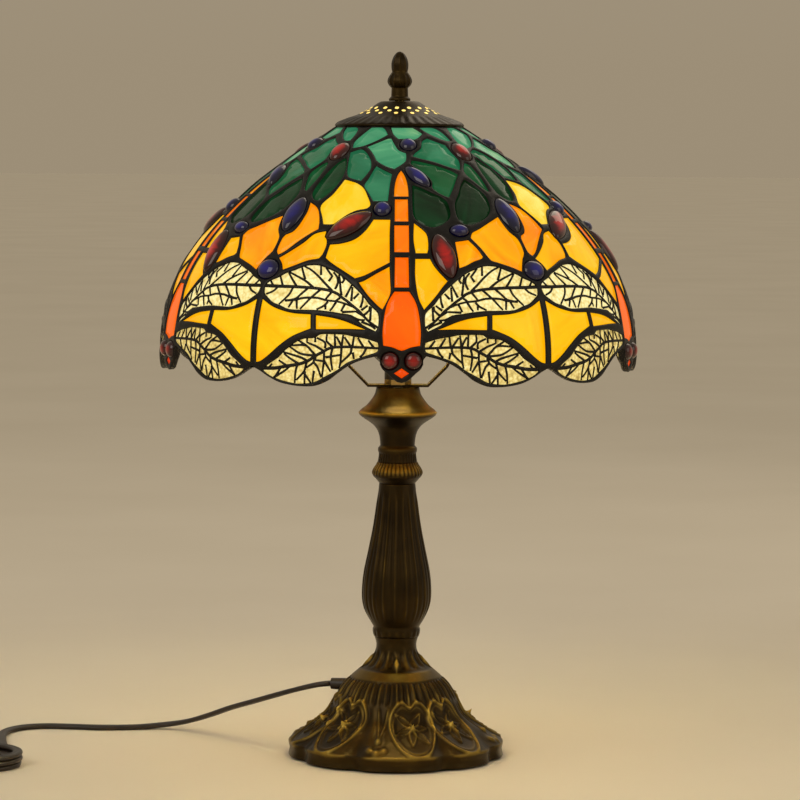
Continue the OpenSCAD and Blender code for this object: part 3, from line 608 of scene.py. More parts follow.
LEAVES = [
    (0.65, [[-29.2, 31], [-24, 27.5], [-21.6, 28.5], [-18.3, 32.5], [-14.9, 40], [-13.8, 48],
            [-14.7, 54], [-16.3, 60.5], [-18.3, 59.5], [-22, 57], [-23.8, 53], [-25.8, 45],
            [-27.8, 36]]),
    (0.7, [[-11.6, 45], [-6.8, 50], [-3.8, 53], [-4.3, 62], [-4.6, 79], [-9.6, 79], [-11.5, 73],
           [-14.4, 64.5], [-13.5, 58], [-12.5, 50]]),
    (0.5, [[5.3, 39], [8.7, 40], [15.4, 43.5], [23, 49.5], [25.4, 53.5], [23, 59], [19.7, 68],
           [17, 75.5], [14.4, 72.5], [11.9, 67], [12.4, 61], [11, 55.5], [8.7, 50.5], [6.2, 46],
           [4.6, 43]]),
    (0.2, [[4.3, 63.5], [7.7, 66.5], [10.6, 70], [15.4, 77], [16.1, 83], [15.4, 92], [12.5, 98],
           [9.7, 100.5], [7.7, 100], [4.8, 95.5], [3.8, 91], [3.7, 80]]),
    (0.15, [[27, 58], [29, 62], [31.8, 72], [32, 77], [30.3, 87], [27, 93.5], [21.7, 98.5],
            [19.2, 98.5], [17.9, 95], [17.7, 88], [18.6, 80], [21.2, 72], [24.2, 63]]),
    (0.5, [[33, 41.5], [34.8, 43.5], [35.6, 52], [35.6, 60], [34.8, 70.5], [33.7, 70], [31.2, 62],
           [29, 53], [30.6, 46]]),
    (0.2, [[-30.3, 37], [-28.5, 38.5], [-25.6, 48], [-24.9, 58], [-25.6, 66], [-27.5, 74.5],
           [-29.3, 79], [-31.3, 78.5], [-34, 73], [-34.5, 64], [-34, 53], [-32.6, 44]])]
AMBER = [
    (0.9, [[-23.5, 58.8], [-21, 60], [-17.3, 62.5], [-14.2, 67], [-11.8, 75], [-10.4, 82],
           [-11.3, 85.3], [-14.4, 87], [-17.3, 91], [-20.6, 99], [-24, 99], [-25.4, 93], [-27.8, 83],
           [-25.4, 73], [-24, 63]]),
    (0.35, [[-32.5, 80.5], [-29.7, 83.5], [-27.7, 87.5], [-25.8, 96], [-25, 103], [-26.8, 106],
            [-29.6, 112], [-33, 120.5], [-34.6, 122.8], [-35.6, 120], [-35.7, 110],
            [-35.2, 107.5], [-33.4, 105.5], [-32.3, 101], [-31.8, 94], [-31.7, 88]]),
    (0.55, [[-22.4, 104], [-21, 114], [-21.4, 122], [-22, 124.5], [-24.8, 126], [-28.6, 130],
            [-31.6, 133.2], [-32.4, 129], [-34, 124.8], [-32, 121.3], [-28, 113], [-25.7, 106.5]]),
    (0.7, [[-8.6, 94.3], [-3.4, 94.3], [-3.4, 105], [-3.2, 118], [-3.1, 126.8], [-6, 131],
           [-9.3, 135.8], [-11.6, 137.8], [-14.5, 133.3], [-18.5, 127.3], [-20.3, 124],
           [-20, 114.3], [-16.7, 113.3], [-13.2, 110], [-10.6, 103.5]]),
    (0.55, [[-3.1, 129.5], [-2.8, 140], [-2.7, 147], [-3.5, 152.5], [-4.5, 157.5], [-5.5, 155.5],
            [-8, 149], [-10.6, 140.5], [-9.5, 139.5], [-6, 133.8]]),
    (0.6, [[3.7, 97], [5.6, 101], [7.1, 105.3], [7.4, 110], [7.2, 117], [6.8, 120.2],
           [3.7, 120.2], [3.3, 110]]),
    (0.6, [[3.5, 124], [7.4, 124], [8.3, 129], [9.5, 133.5], [11.4, 139.3], [10.2, 142.5],
           [8, 149.5], [5.2, 157.5], [4, 150.5], [3.3, 137]]),
    (0.45, [[15, 111.7], [19, 110.3], [21, 117], [22, 122.7], [21.6, 124], [19.2, 126],
            [16.7, 129], [14.8, 130.7], [14.9, 122]]),
    (0.4, [[32, 92], [32.6, 99], [33.4, 104.5], [35.1, 110], [35.1, 120.5], [33.9, 124.5],
           [32.9, 129.5], [32.2, 133.8], [29.5, 130.5], [25.4, 126.8], [24, 125.5], [22.2, 117.5],
           [19.9, 109], [20.8, 105], [23.4, 102], [27.5, 97]])]
BETWEEN_WINGS = [
    (0.7, [[-35.2, 152.5], [-32.5, 156.3], [-30, 158.6], [-26.2, 160.6], [-21.6, 161.1],
            [-21.3, 169.8], [-23, 171.5], [-26, 175], [-29, 180.5], [-32, 187], [-34, 190.5],
            [-35.2, 191.3]]),
    (0.65, [[-20.3, 161.5], [-16, 163], [-13, 165], [-10.5, 167.5], [-8.2, 169.8], [-12, 169.6],
            [-16, 169.9], [-20, 170.2]])]
BODY = [
    (0.9, [[0, 49.5], [1.2, 53], [2.2, 59.5], [2.6, 67], [2.6, 74.7], [-2.6, 74.7], [-2.6, 67],
           [-2.2, 59.5], [-1.2, 53]]),
    (0.75, [[-2.3, 76.8], [2.3, 76.8], [2.1, 96], [-2.1, 96]]),
    (0.65, [[-2.2, 98.8], [2.2, 98.8], [2, 119.5], [-2, 119.5]]),
    (0.55, [[-1.8, 123], [1.8, 123], [1.8, 143.5], [-1.8, 143.5]]),
    (0.4, [[-1.8, 146], [1.8, 146], [3, 151], [3.7, 156], [4.2, 164], [4.4, 172], [4.2, 179.3],
           [2, 180.4], [0, 182.3], [-2, 180.4], [-4.2, 179.3], [-4.4, 172], [-4.2, 164],
           [-3.7, 156], [-3, 151]]),
    (0.1, [[0, 192.6], [1.8, 195.8], [0, 198.9], [-1.8, 195.8]])]
UPPER_WING = [
    [-35.3, 143.8], [-34.3, 140.7], [-32, 138], [-30.5, 135.5], [-28, 133], [-26.5, 131.3],
    [-25, 129.8], [-22.5, 129.2], [-20.8, 129.8], [-19, 131.5], [-17, 133.5], [-14.5, 137.5],
    [-12.5, 141.5], [-10.5, 146], [-9, 150], [-7.8, 154], [-6.8, 156.5], [-5.5, 160], [-5.4, 168],
    [-6, 170.8], [-9, 167], [-10, 164.5], [-12, 161], [-14, 160.3], [-16, 159.5], [-20, 158.5],
    [-23.5, 158.5], [-27.5, 158.3], [-30, 156], [-32, 154.5], [-34, 151], [-35, 148.8]]
LOWER_WING = [
    [-33.2, 195.5], [-32, 192.5], [-30.5, 190], [-29, 187.5], [-28, 184.8], [-26.8, 182],
    [-25.5, 179.5], [-24, 177], [-22.5, 175.8], [-20, 175.2], [-19, 173.2], [-16, 172.8],
    [-13, 173], [-11, 174], [-8.5, 175], [-6.5, 176.5], [-5.4, 177.5], [-5.2, 181], [-5.5, 183],
    [-7, 184.5], [-10.5, 187.7], [-12.5, 190], [-14.5, 194], [-16.5, 197], [-18, 199],
    [-19.5, 201.3], [-21, 202.5], [-24, 203.3], [-26, 202.8], [-28.5, 201.5], [-31.5, 199],
    [-33, 196.5]]
# The wing glass is clear, so these tones only set its painted glow: the upper wings painted brighter
# than the lower.
WINGS = [(0.62, UPPER_WING), (0.42, LOWER_WING)]
# The left half of the scalloped hem, from between two wings to the point of the chin
HEM = [[-36, 194.3], [-34, 196.5], [-32, 199.5], [-29, 202.8], [-26, 204.3], [-23, 204.8],
       [-20, 204.2], [-17, 201], [-15, 197], [-12, 191.5], [-9, 188], [-5.6, 185.6], [-4.9, 188],
       [-4.9, 190.6], [-4.4, 193.2], [-3.3, 195.8], [-2.2, 198.6], [-1, 201], [0, 201.6]]
# Jewels: [degrees, drop, half length, half width, lean of the long side from level]
RUBIES = [[36, 31, 9, 5.8, 90], [-15.8, 99.5, 15.8, 7, 41], [11.3, 121.8, 15.5, 7, -80]]
COBALTS = [[4.6, 23.3, 5.8, 5.2, 90], [6.8, 56.2, 11.2, 4.9, -57], [36, 91, 14, 6.6, 90],
           [36, 133, 7.4, 6.6, 0], [-6.2, 86, 5.8, 5.4, 90], [17, 103.6, 6, 4.4, 0]]
EYES = [[-2.65, 188.3, 5.2, 5.2, 0], [2.65, 188.3, 5.2, 5.2, 0]]

# The midrib and the veins of each left wing, as lines of (angle, drop)
UPPER_RIB = [[-36, 143.8], [-32, 144], [-27, 144], [-22, 144.5], [-19, 145.3], [-17, 146.5],
             [-15.5, 148], [-14.5, 150], [-13, 152.5], [-11.5, 155.5], [-10, 158.5], [-8.5, 162.5],
             [-7.5, 165], [-5.5, 168.5]]
UPPER_VEINS = [
    [[-33, 144], [-34.2, 140.5]], [[-30.2, 144], [-31.8, 137]],
    [[-26.5, 143.5], [-28.3, 138.5], [-29.5, 135]],
    [[-22, 144], [-24, 140.5], [-26, 138], [-29.3, 134.5]],
    [[-24.5, 139], [-25.8, 133], [-26.3, 130.5]],
    [[-17, 146], [-19, 141.5], [-21, 137], [-23.5, 132.5], [-25.5, 130.3]],
    [[-20.5, 136], [-21, 129.8]], [[-18.2, 140], [-17.5, 136.5], [-19.5, 131]],
    [[-16.3, 145], [-15.8, 141], [-16.2, 137], [-17.3, 134]],
    [[-14.5, 149], [-15, 144], [-15.3, 140], [-15.8, 135.5]], [[-13.5, 150], [-13, 147], [-12.2, 142]],
    [[-14.8, 141], [-14.3, 139], [-15, 136]], [[-12, 152.5], [-12, 143.5]],
    [[-11.5, 151], [-10.3, 147.5]], [[-9.7, 156.5], [-9.3, 152], [-9.3, 149]],
    [[-9.5, 158], [-8.7, 156.5], [-8, 155]], [[-8.8, 161], [-7.6, 158], [-7.5, 155.5]],
    [[-7.3, 164.5], [-7.2, 156]], [[-31.5, 144], [-32.5, 147], [-34.5, 149.3]],
    [[-27.3, 144.3], [-28, 149], [-30.3, 155.5]],
    [[-23.3, 144.8], [-25, 149], [-26, 151.5], [-28.5, 153]],
    [[-28.8, 153], [-26, 152.3], [-24, 151], [-20.5, 150.8], [-18, 152.2], [-15.5, 152.8],
     [-13.5, 154], [-11.5, 156]],
    [[-20, 145.5], [-21, 148], [-22.2, 151], [-23.5, 155], [-24.5, 158]], [[-17, 146.7], [-18.5, 152]],
    [[-14.8, 150.5], [-16, 152.8]], [[-26.8, 153.2], [-27.6, 157.3]], [[-25.7, 153], [-25.3, 158]],
    [[-17.7, 153], [-18.5, 155.5], [-20.3, 158]], [[-18.2, 155.5], [-18.1, 158]],
    [[-15.7, 153.3], [-16.5, 157], [-17, 158.8]], [[-13.5, 154.5], [-14.3, 159]],
    [[-14, 159.3], [-10.5, 158.8]], [[-12, 161.5], [-10, 163.8], [-8.5, 164]],
    [[-10.5, 159], [-9, 161.5]], [[-9.3, 165], [-7, 167.5], [-6, 169.5]]]
LOWER_RIB = [[-33.8, 194.6], [-30, 194.3], [-27, 192.8], [-23.8, 191.3], [-21.5, 189], [-19.8, 186],
             [-18, 183.5], [-16.5, 181.3], [-14, 180.4], [-10, 180.4], [-5, 180.9]]
LOWER_VEINS = [
    [[-26.8, 192.8], [-29, 189.5]], [[-23.8, 191.3], [-26.3, 187.8], [-27.7, 185.3]],
    [[-21.8, 189.3], [-23.2, 187.5], [-28, 184.3]], [[-19.9, 186], [-23.5, 185], [-26.3, 181]],
    [[-19.8, 185.8], [-21, 182.8], [-22.2, 180], [-26, 180.3]], [[-22.2, 180], [-24.2, 177]],
    [[-17.8, 183.2], [-20, 180], [-22, 178], [-22, 175.8]],
    [[-17.6, 181.5], [-17.6, 178], [-19.6, 175.3]], [[-20, 178], [-20, 175.2]],
    [[-15.8, 180.5], [-17.3, 176.8], [-17.2, 173]], [[-15.2, 180.3], [-15.4, 173]],
    [[-13.6, 180.3], [-15, 174.2]], [[-13.7, 180.3], [-13.4, 173.2]],
    [[-11.5, 180.3], [-13.1, 174.5]], [[-11.2, 180.3], [-10.9, 174]], [[-8.6, 180.5], [-10, 174.8]],
    [[-6.3, 180.6], [-7.6, 176.2]], [[-32, 195], [-30.8, 191.8]],
    [[-28.6, 194.2], [-29.8, 198.5], [-30.4, 200]], [[-30.4, 200], [-27.6, 195.8], [-26, 192.6]],
    [[-24.3, 191.8], [-24.8, 197], [-25, 202.8]], [[-22, 190.2], [-22.6, 195.5], [-24.6, 201]],
    [[-22.4, 195.5], [-22.6, 203]], [[-20, 187.5], [-20.3, 190], [-22, 193.3]],
    [[-20.3, 190], [-19.4, 192.5], [-18.5, 199]], [[-22.4, 197.5], [-21, 202.5]],
    [[-20.2, 195], [-20.6, 202]], [[-19.9, 186], [-19.8, 188.6], [-17.4, 189.3]],
    [[-17.8, 183.3], [-17.8, 188.5], [-18.3, 199]], [[-17.6, 189.5], [-16.2, 195.5]],
    [[-15.8, 181], [-16.2, 186.3], [-15.8, 194.5]], [[-17.4, 186.8], [-13.6, 185]],
    [[-13.7, 180.5], [-13.9, 189.3], [-14.2, 193]], [[-11.4, 180.5], [-11.6, 184], [-13.9, 190]],
    [[-11.1, 183.5], [-10.8, 187.5]], [[-8, 180.6], [-8.7, 184.5], [-9.5, 186.3]]]

# How far a piece of glass is drawn in from its outline, and the solder's shoulder round it:
# how far away a neighbour still narrows it, its share of the way there, and its least width
OVERLAP = 0.22
NEIGHBOUR = 2.64
SHOULDER_SHARE = 0.41
SHOULDER_LEAST = 0.22


def flipped(tiles):
    return [(tone, [[-a, s] for a, s in outline]) for tone, outline in tiles]


def smooth_tile(outline):
    """A tile's outline as a dense loop that runs anticlockwise in (angle, drop)."""
    p = np.array(outline, float)
    nearby = RAD * dome_radius(p[:, 1].mean())
    loop = curve_through(p * [nearby, 1], 2.0, True) / [nearby, 1]
    ahead = np.roll(loop, -1, 0)
    area = (loop[:, 0] * ahead[:, 1] - loop[:, 1] * ahead[:, 0]).sum()
    return spread(loop if area > 0 else loop[::-1], np.full(len(loop), -OVERLAP))


LONG_STONE = 1.7
LONG_PINCH = 0.2


def jewel_rim(jewel, scale=1.0, count=44):
    """Outline of a stone in millimetres across and up; the long ones come to a soft point."""
    _, _, a, b, lean = jewel
    pinch = LONG_PINCH if a > LONG_STONE * b else 0.0
    t = np.arange(count) * 2 * math.pi / count
    x, y = a * np.cos(t), b * np.sin(t) * (1 - pinch * np.cos(t) ** 2)
    turn = lean * RAD
    return np.stack([x * math.cos(turn) - y * math.sin(turn),
                     x * math.sin(turn) + y * math.cos(turn)], 1) * scale


def jewel_loop(jewel):
    """A stone's outline in (angle, drop), running the same way as the glass."""
    rim = jewel_rim(jewel)
    nearby = RAD * float(dome_radius(jewel[1]))
    return np.stack([jewel[0] + rim[:, 0] / nearby, jewel[1] - rim[:, 1]], 1)[::-1]


def half_turn(angle):
    """The same angle, from -180 to 180 degrees."""
    return (angle + 180) % 360 - 180


def spread(loop, gap):
    """Moves a loop by a gap, in millimetres on the dome, to the right of the way it runs."""
    nearby = RAD * dome_radius(loop[:, 1])
    metric = np.stack([nearby, np.ones(len(loop))], 1)

    def unit(step):
        return unit_rows(np.stack([half_turn(step[:, 0]), step[:, 1]], 1) * metric)

    both = unit(np.roll(loop, -1, 0) - loop) + unit(loop - np.roll(loop, 1, 0))
    size = np.maximum(np.linalg.norm(both, axis=1), 1e-6)
    aside = np.stack([both[:, 1], -both[:, 0]], 1) / size[:, None]
    stretch = 1 / np.clip(size / 2, 0.62, 1)
    return loop + aside * (np.asarray(gap) * stretch)[:, None] / metric


def turned(loop, panel):
    return loop + [panel * PANEL_TURN, 0]


def half_gaps(loops, hem):
    """For each point of each loop, how far the solder's shoulder may reach from the glass."""
    rows = [(on_dome(*turned(loop, k).T), index) for index, loop in enumerate(loops)
            for k in (-1, 0, 1)]
    rows.append((on_dome(*hem.T), -1))
    tree = kdtree.KDTree(sum(len(points) for points, _ in rows))
    owners = []
    for points, index in rows:
        for point in points:
            tree.insert(point, len(owners))
            owners.append(index)
    tree.balance()

    def reach(point, own):
        near = [far for _, i, far in tree.find_range(point, NEIGHBOUR) if owners[i] != own]
        return max(min(near + [NEIGHBOUR]) * SHOULDER_SHARE, SHOULDER_LEAST)

    return [np.array([reach(p, index) for p in on_dome(*loop.T)])
            for index, loop in enumerate(loops)]


BEAD_TOP = 0.15
PLANE_SHIFT = 38


def to_plane(places):
    """(angle, drop) to a flat ring, where the whole shade's solder has no seam."""
    reach = places[:, 1] + PLANE_SHIFT
    return np.stack([reach * np.sin(places[:, 0] * RAD), -reach * np.cos(places[:, 0] * RAD)], 1)


def from_plane(points):
    """The reverse of to_plane."""
    return np.stack([np.degrees(np.arctan2(points[:, 0], -points[:, 1])),
                     np.hypot(points[:, 0], points[:, 1]) - PLANE_SHIFT], 1)


def inside(points, loop):
    """Which points lie inside a loop."""
    x, y = points[:, 0], points[:, 1]
    hit = np.zeros(len(points), bool)
    ahead = np.roll(loop, -1, 0)
    for (ax, ay), (bx, by) in zip(loop, ahead):
        if ay == by:
            continue
        crosses = (ay > y) != (by > y)
        hit ^= crosses & (x < ax + (y - ay) * (bx - ax) / (by - ay))
    return hit


def whole_hem():
    """The scalloped lower edge, all the way round."""
    half = curve_through(np.array(HEM) * [RAD * SHADE_R, 1], 2.0) / [RAD * SHADE_R, 1]
    sector = np.vstack([half, (half * [-1, 1])[::-1][1:-1]])
    return np.vstack([turned(sector, k) for k in range(PANELS)])


FILL_DROPS = np.arange(6, 203, 4.5)
FILL_TURNS = np.arange(-PANEL_TURN / 2, PANEL_TURN / 2, 2.4)
FILL_CLEAR = 2.4


def fill_points(loops):
    """Points in the wide parts of the solder, so that it follows the dome there."""
    grid = np.array([[a, s] for s in FILL_DROPS for a in FILL_TURNS])
    clear = np.ones(len(grid), bool)
    for loop in loops:
        for shift in (-1, 0, 1):
            near = turned(loop, shift)
            box = ((grid > near.min(0) - [2, 4]) & (grid < near.max(0) + [2, 4])).all(1)
            picked = np.where(box & clear)[0]
            if not len(picked):
                continue
            here = on_dome(*grid[picked].T)
            edge = on_dome(*near.T)
            apart = np.linalg.norm(here[:, None] - edge[None], axis=2).min(1)
            clear[picked[(apart < FILL_CLEAR) | inside(grid[picked], near)]] = False
    return grid[clear]


# Rows of the solder round each opening, from the back: (share of the gap, height off the dome)
SHOULDERS = [(1.0, -LEAD_T), (0.0, -LEAD_T + 0.9), (0.0, -0.95), (0.3, -0.2), (1.0, BEAD_TOP)]
HEM_GAP = 0.7
CROWN_GAP = 0.5
CROWN_DROP = 0.6


def solder_shoulders(rims):
    """The solder's walls, as places on the dome, their heights off it, and faces."""
    places, offs, faces = [], [], []
    for loop, gap in rims:
        start, count = len(places), len(loop)
        for share, off in SHOULDERS:
            places.extend(spread(loop, gap * share))
            offs.extend([off] * count)
        faces += bands(start, len(SHOULDERS), count)
    return places, offs, faces


def hem_level(angles, hem_edge):
    """How far down the dome the shade's lower edge is, at each angle."""
    turns = (hem_edge[:, 0] + PANEL_TURN / 2) % 360
    order = np.argsort(turns)
    return np.interp((angles + PANEL_TURN / 2) % 360, turns[order], hem_edge[order, 1])


def triangle_middles(points, triangles):
    """Middles in (angle, drop), also where a triangle spans the back of the shade."""
    first = points[triangles[:, 0]]
    sides = points[triangles] - first[:, None]
    sides[..., 0] = half_turn(sides[..., 0])
    middle = first + sides.mean(1)
    middle[:, 0] = half_turn(middle[:, 0])
    return middle


def solder_top(rims, loops, holes, hem_edge):
    """Points and triangles of the solder's face, open at every piece of glass and stone."""
    plane, edges = [], []
    for rim in rims:
        first, count = len(plane), len(rim)
        plane.extend(to_plane(rim))
        edges += [(first + i, first + (i + 1) % count) for i in range(count)]
    extra = fill_points(loops)
    extra = extra[extra[:, 1] < hem_level(extra[:, 0], hem_edge) - FILL_CLEAR]
    for k in range(PANELS):
        plane.extend(to_plane(turned(extra, k)))
    points, _, triangles, *_ = geometry.delaunay_2d_cdt(
        [Vector(p) for p in plane], edges, [], 0, 1e-5)
    points = from_plane(np.array([tuple(p) for p in points]))
    triangles = np.array(triangles)
    middle = triangle_middles(points, triangles)
    keep = middle[:, 1] > CROWN_DROP + 0.3
    keep &= middle[:, 1] < hem_level(middle[:, 0], hem_edge) + 0.05
    for hole in holes:
        for k in range(-3, 4):
            shifted = turned(hole, k)
            near = keep & ((middle > shifted.min(0)) & (middle < shifted.max(0))).all(1)
            picked = np.where(near)[0]
            keep[picked[inside(middle[picked], shifted)]] = False
    return points, triangles[keep]


def make_leading(loops, gaps, materials):
    """The solder network: rounded shoulders round every piece, joined by a filled top."""
    hem = whole_hem()
    crown = np.array([[-a, CROWN_DROP] for a in np.arange(0, 360, 3.0)])
    rims = [(turned(loop, k), gap) for loop, gap in zip(loops, gaps) for k in range(PANELS)]
    rims += [(hem, np.full(len(hem), HEM_GAP)), (crown, np.full(len(crown), CROWN_GAP))]
    places, offs, faces = solder_shoulders(rims)
    edges = [spread(loop, gap) for loop, gap in rims]
    holes = [spread(loop, gap) for loop, gap in zip(loops, gaps)]
    points, triangles = solder_top(edges, loops, holes, edges[-2])
    for side, off in ((1, BEAD_TOP), (-1, -LEAD_T)):
        start = len(places)
        places.extend(points)
        offs.extend([off] * len(points))
        faces += [[start + v for v in t[::side]] for t in triangles]
    places = np.array(places)
    verts = on_dome(places[:, 0], places[:, 1], np.array(offs))
    leading = make_mesh("solder_leading", verts, faces, materials["solder"], weld=0.02)
    settle(leading, "shade", "solder", "shade_leading")


TILE_GRID = 5.0
GLASS_UNDER = 0.4
TONE_SPREAD = 0.07


def fill_tile(edge, nearby):
    """Points and triangles over one piece of glass, close enough to follow the dome."""
    low, high = edge.min(0), edge.max(0)
    grid = np.array([[a, s] for s in np.arange(low[1] + 2, high[1], TILE_GRID)
                     for a in np.arange(low[0] + 1, high[0], TILE_GRID / nearby)]).reshape(-1, 2)
    if len(grid):
        apart = np.linalg.norm((grid[:, None] - edge[None]) * [nearby, 1], axis=2).min(1)
        grid = grid[inside(grid, edge) & (apart > 2)]
    flat = np.vstack([edge, grid]) * [nearby, 1]
    points, _, triangles, *_ = geometry.delaunay_2d_cdt(
        [Vector(p) for p in flat], [], [list(range(len(edge)))], 1, 1e-6)
    return np.array([tuple(p) for p in points]) / [nearby, 1], triangles


def make_glass(name, tiles, gaps, material, slot, node, rng):
    """Every piece of one kind of glass, five times round, as closed slabs that follow the dome."""
    verts, faces, tones, flows = [], [], [], []
    for (tone, loop), gap in zip(tiles, gaps):
        edge = spread(loop, gap * GLASS_UNDER)
        nearby = RAD * float(dome_radius(edge[:, 1].mean()))
        points, triangles = fill_tile(edge, nearby)
        for k in range(PANELS):
            start = len(verts)
            here = turned(points, k)
            verts.extend(on_dome(*here.T, GLASS_OUT))
            verts.extend(on_dome(*here.T, GLASS_IN))
            rim = turned(edge, k)
            verts.extend(on_dome(*rim.T, GLASS_OUT))
            verts.extend(on_dome(*rim.T, GLASS_IN))
            count = len(points)
            faces += [[start + v for v in t] for t in triangles]
            faces += [[start + count + v for v in reversed(t)] for t in triangles]
            faces += bands(start + 2 * count, 2, len(edge), flip=True)
            way, shift = rng.uniform(0, math.pi), rng.uniform(-5, 5)
            local = (np.vstack([points, points, edge, edge]) - points.mean(0)) * [nearby, 1] * MM
            flows.extend(np.stack([local[:, 0] * math.cos(way) - local[:, 1] * math.sin(way) + shift,
                                   local[:, 0] * math.sin(way) + local[:, 1] * math.cos(way),
                                   np.full(len(local), shift)], 1))
            tones.extend([tone + rng.uniform(-TONE_SPREAD, TONE_SPREAD)] * len(local))
    glass = make_mesh(name, verts, faces, material, weld=0.001,
                      attributes={"tone": tones, "flow": flows})
    settle(glass, "shade", slot, node)


def dome_frame(angle, drop):
    """Origin, across, up and out on the dome's outer face, in millimetres."""
    out, rise = dome_normal(float(drop))
    a = angle * RAD
    normal = np.array([out * math.sin(a), -out * math.cos(a), rise])
    across = np.array([math.cos(a), math.sin(a), 0])
    return on_dome(angle, drop), across, np.cross(normal, across), normal


JEWEL_RINGS = [0.25, 0.45, 0.62, 0.76, 0.87, 0.95, 1.0]
JEWEL_EDGE = -0.9
JEWEL_BACK = -LEAD_T + 0.6


def make_jewels(name, jewels, material, slot, node):
    """Polished stones: a domed face over a short straight edge and a flat back."""
    levels = [(share, JEWEL_EDGE + (JEWEL_RISE - JEWEL_EDGE) * (1 - share**2.5) ** 0.6)
              for share in JEWEL_RINGS] + [(1.0, JEWEL_BACK)]
    verts, faces, tones = [], [], []
    for k in range(PANELS):
        for jewel in jewels:
            origin, across, up, out = dome_frame(jewel[0] + k * PANEL_TURN, jewel[1])
            rim = jewel_rim(jewel, 1.03)
            start, count = len(verts), len(rim)
            # The tone here is painted light and shade: 1 at the top of the dome, less towards the rim,
            # and 0 at the back, so the stone glows in its middle and darkens at its rim.
            verts.append(origin + out * JEWEL_RISE)
            tones.append(1.0)
            for share, height in levels:
                verts.extend(origin + across * x * share + up * y * share + out * height
                             for x, y in rim)
                tones.extend([1 - share**2] * count)
            verts.append(origin + out * JEWEL_BACK)
            tones.append(0.0)
            first = start + 1
            back = len(verts) - 1
            last = back - count
            faces += bands(first, len(levels), count, flip=True)
            for i in range(count):
                j = (i + 1) % count
                faces += [[start, first + i, first + j], [last + i, back, last + j]]
    stones = make_mesh(name, verts, faces, material, attributes={"tone": tones})
    settle(stones, "shade", slot, node)


# Half widths of a rib and of a vein, at the start and at the tip, and their shared section
RIB_HALF = (1.4, 0.9)
VEIN_HALF = (0.98, 0.74)
VEIN_SECTION = [(-1, -0.5), (-0.75, 0.2), (0, 0.55), (0.75, 0.2), (1, -0.5)]


def make_filigree(materials):
    """The etched wing sheets: half-round ribs and veins that lie on the glass."""
    count = len(VEIN_SECTION)
    verts, faces = [], []
    lines = [(*RIB_HALF, rib) for rib in (UPPER_RIB, LOWER_RIB)]
    lines += [(*VEIN_HALF, vein) for vein in UPPER_VEINS + LOWER_VEINS]
    nearby = RAD * SHADE_R
    for root, tip, points in lines:
        line = curve_through(np.array(points) * [nearby, 1], 1.8, corner=70) / [nearby, 1]
        for flip in (1, -1):
            for k in range(PANELS):
                here = line * [flip, 1] + [k * PANEL_TURN, 0]
                path = on_dome(here[:, 0], here[:, 1], GLASS_OUT)
                lift = on_dome(here[:, 0], here[:, 1], GLASS_OUT + 1) - path
                way = np.gradient(path, axis=0)
                side = unit_rows(np.cross(way, lift))
                half = np.linspace(root, tip, len(path))
                start = len(verts)
                for i in range(len(path)):
                    verts.extend(path[i] + side[i] * x * half[i] + lift[i] * y
                                 for x, y in VEIN_SECTION)
                faces += bands(start, len(path), count)
                faces += [[start + j for j in range(count)][::-1],
                          [start + (len(path) - 1) * count + j for j in range(count)]]
    mesh = make_mesh("wing_veins", verts, faces, materials["filigree"], weld=0.0005)
    settle(mesh, "shade", "filigree", "wing_filigree")


def make_shade(materials):
    """All the glass, with the solder fitted round it, the stones and the wings' filigree."""
    rng = random.Random(7)
    groups = {
        "crown": CROWN, "leaves": LEAVES,
        "amber": AMBER + BETWEEN_WINGS + flipped(BETWEEN_WINGS),
        "body": BODY, "wing": WINGS + flipped(WINGS)}
    smooth = {key: [(tone, smooth_tile(outline)) for tone, outline in tiles]
              for key, tiles in groups.items()}
    glass_loops = [loop for tiles in smooth.values() for _, loop in tiles]
    loops = glass_loops + [jewel_loop(j) for j in RUBIES + COBALTS + EYES]
    gaps = half_gaps(loops, whole_hem())
    make_leading(loops, gaps, materials)
    named = {"crown": ("crown_glass", "light_green_glass", "glass_crown"),
             "leaves": ("leaf_glass", "deep_green_glass", "glass_leaves"),
             "amber": ("ground_glass", "amber_glass", "glass_amber"),
             "body": ("dragonfly_glass", "orange_glass", "glass_dragonflies"),
             "wing": ("wing_glass", "clear_ripple_glass", "glass_wings")}
    start = 0
    for key, tiles in smooth.items():
        name, slot, node = named[key]
        make_glass(name, tiles, gaps[start:start + len(tiles)], materials[key], slot, node, rng)
        start += len(tiles)
    make_jewels("ruby_jewels", RUBIES, materials["ruby"], "ruby_glass", "jewels_red")
    make_jewels("cobalt_jewels", COBALTS, materials["cobalt"], "cobalt_glass", "jewels_blue")
    make_jewels("eye_jewels", EYES, materials["eye"], "eye_glass", "dragonfly_eyes")
    make_filigree(materials)


# ------------------------------------------------------------------ castings
def lathe(name, outer, inner, columns, relief, material, step=1.0):
    """A turned casting: an outer profile from its foot up, shaped by relief, and an inner one."""
    face = curve_through(outer, step, corner=38)
    back = np.array(inner, float)
    profile = np.vstack([face, back])
    run = np.concatenate([[0], np.cumsum(np.linalg.norm(np.diff(face, axis=0), axis=1))])
    slope = unit_rows(np.gradient(face, axis=0))
    angles = np.arange(columns) * 360 / columns
    a, v = np.meshgrid(angles, run, indexing="ij")
    r, z = (np.broadcast_to(face[:, i], a.shape) for i in (0, 1))
    height, inward, wear = relief(a, v, r, z)
    r = r + height * slope[:, 1] - inward
    z = z - height * slope[:, 0]
    rows, all_r = len(profile), np.empty((columns, len(profile)))
    all_z, all_wear = np.empty_like(all_r), np.zeros_like(all_r)
    all_r[:, :len(face)], all_z[:, :len(face)], all_wear[:, :len(face)] = r, z, wear
    all_r[:, len(face):], all_z[:, len(face):] = back[:, 0], back[:, 1]
    turn = (angles * RAD)[:, None]
    verts = np.stack([all_r * np.sin(turn), -all_r * np.cos(turn), all_z], -1).reshape(-1, 3)
    faces = bands(0, columns, rows, flip=True, closed=True)
    return make_mesh(name, verts, faces, material, attributes={"wear": all_wear.ravel()})


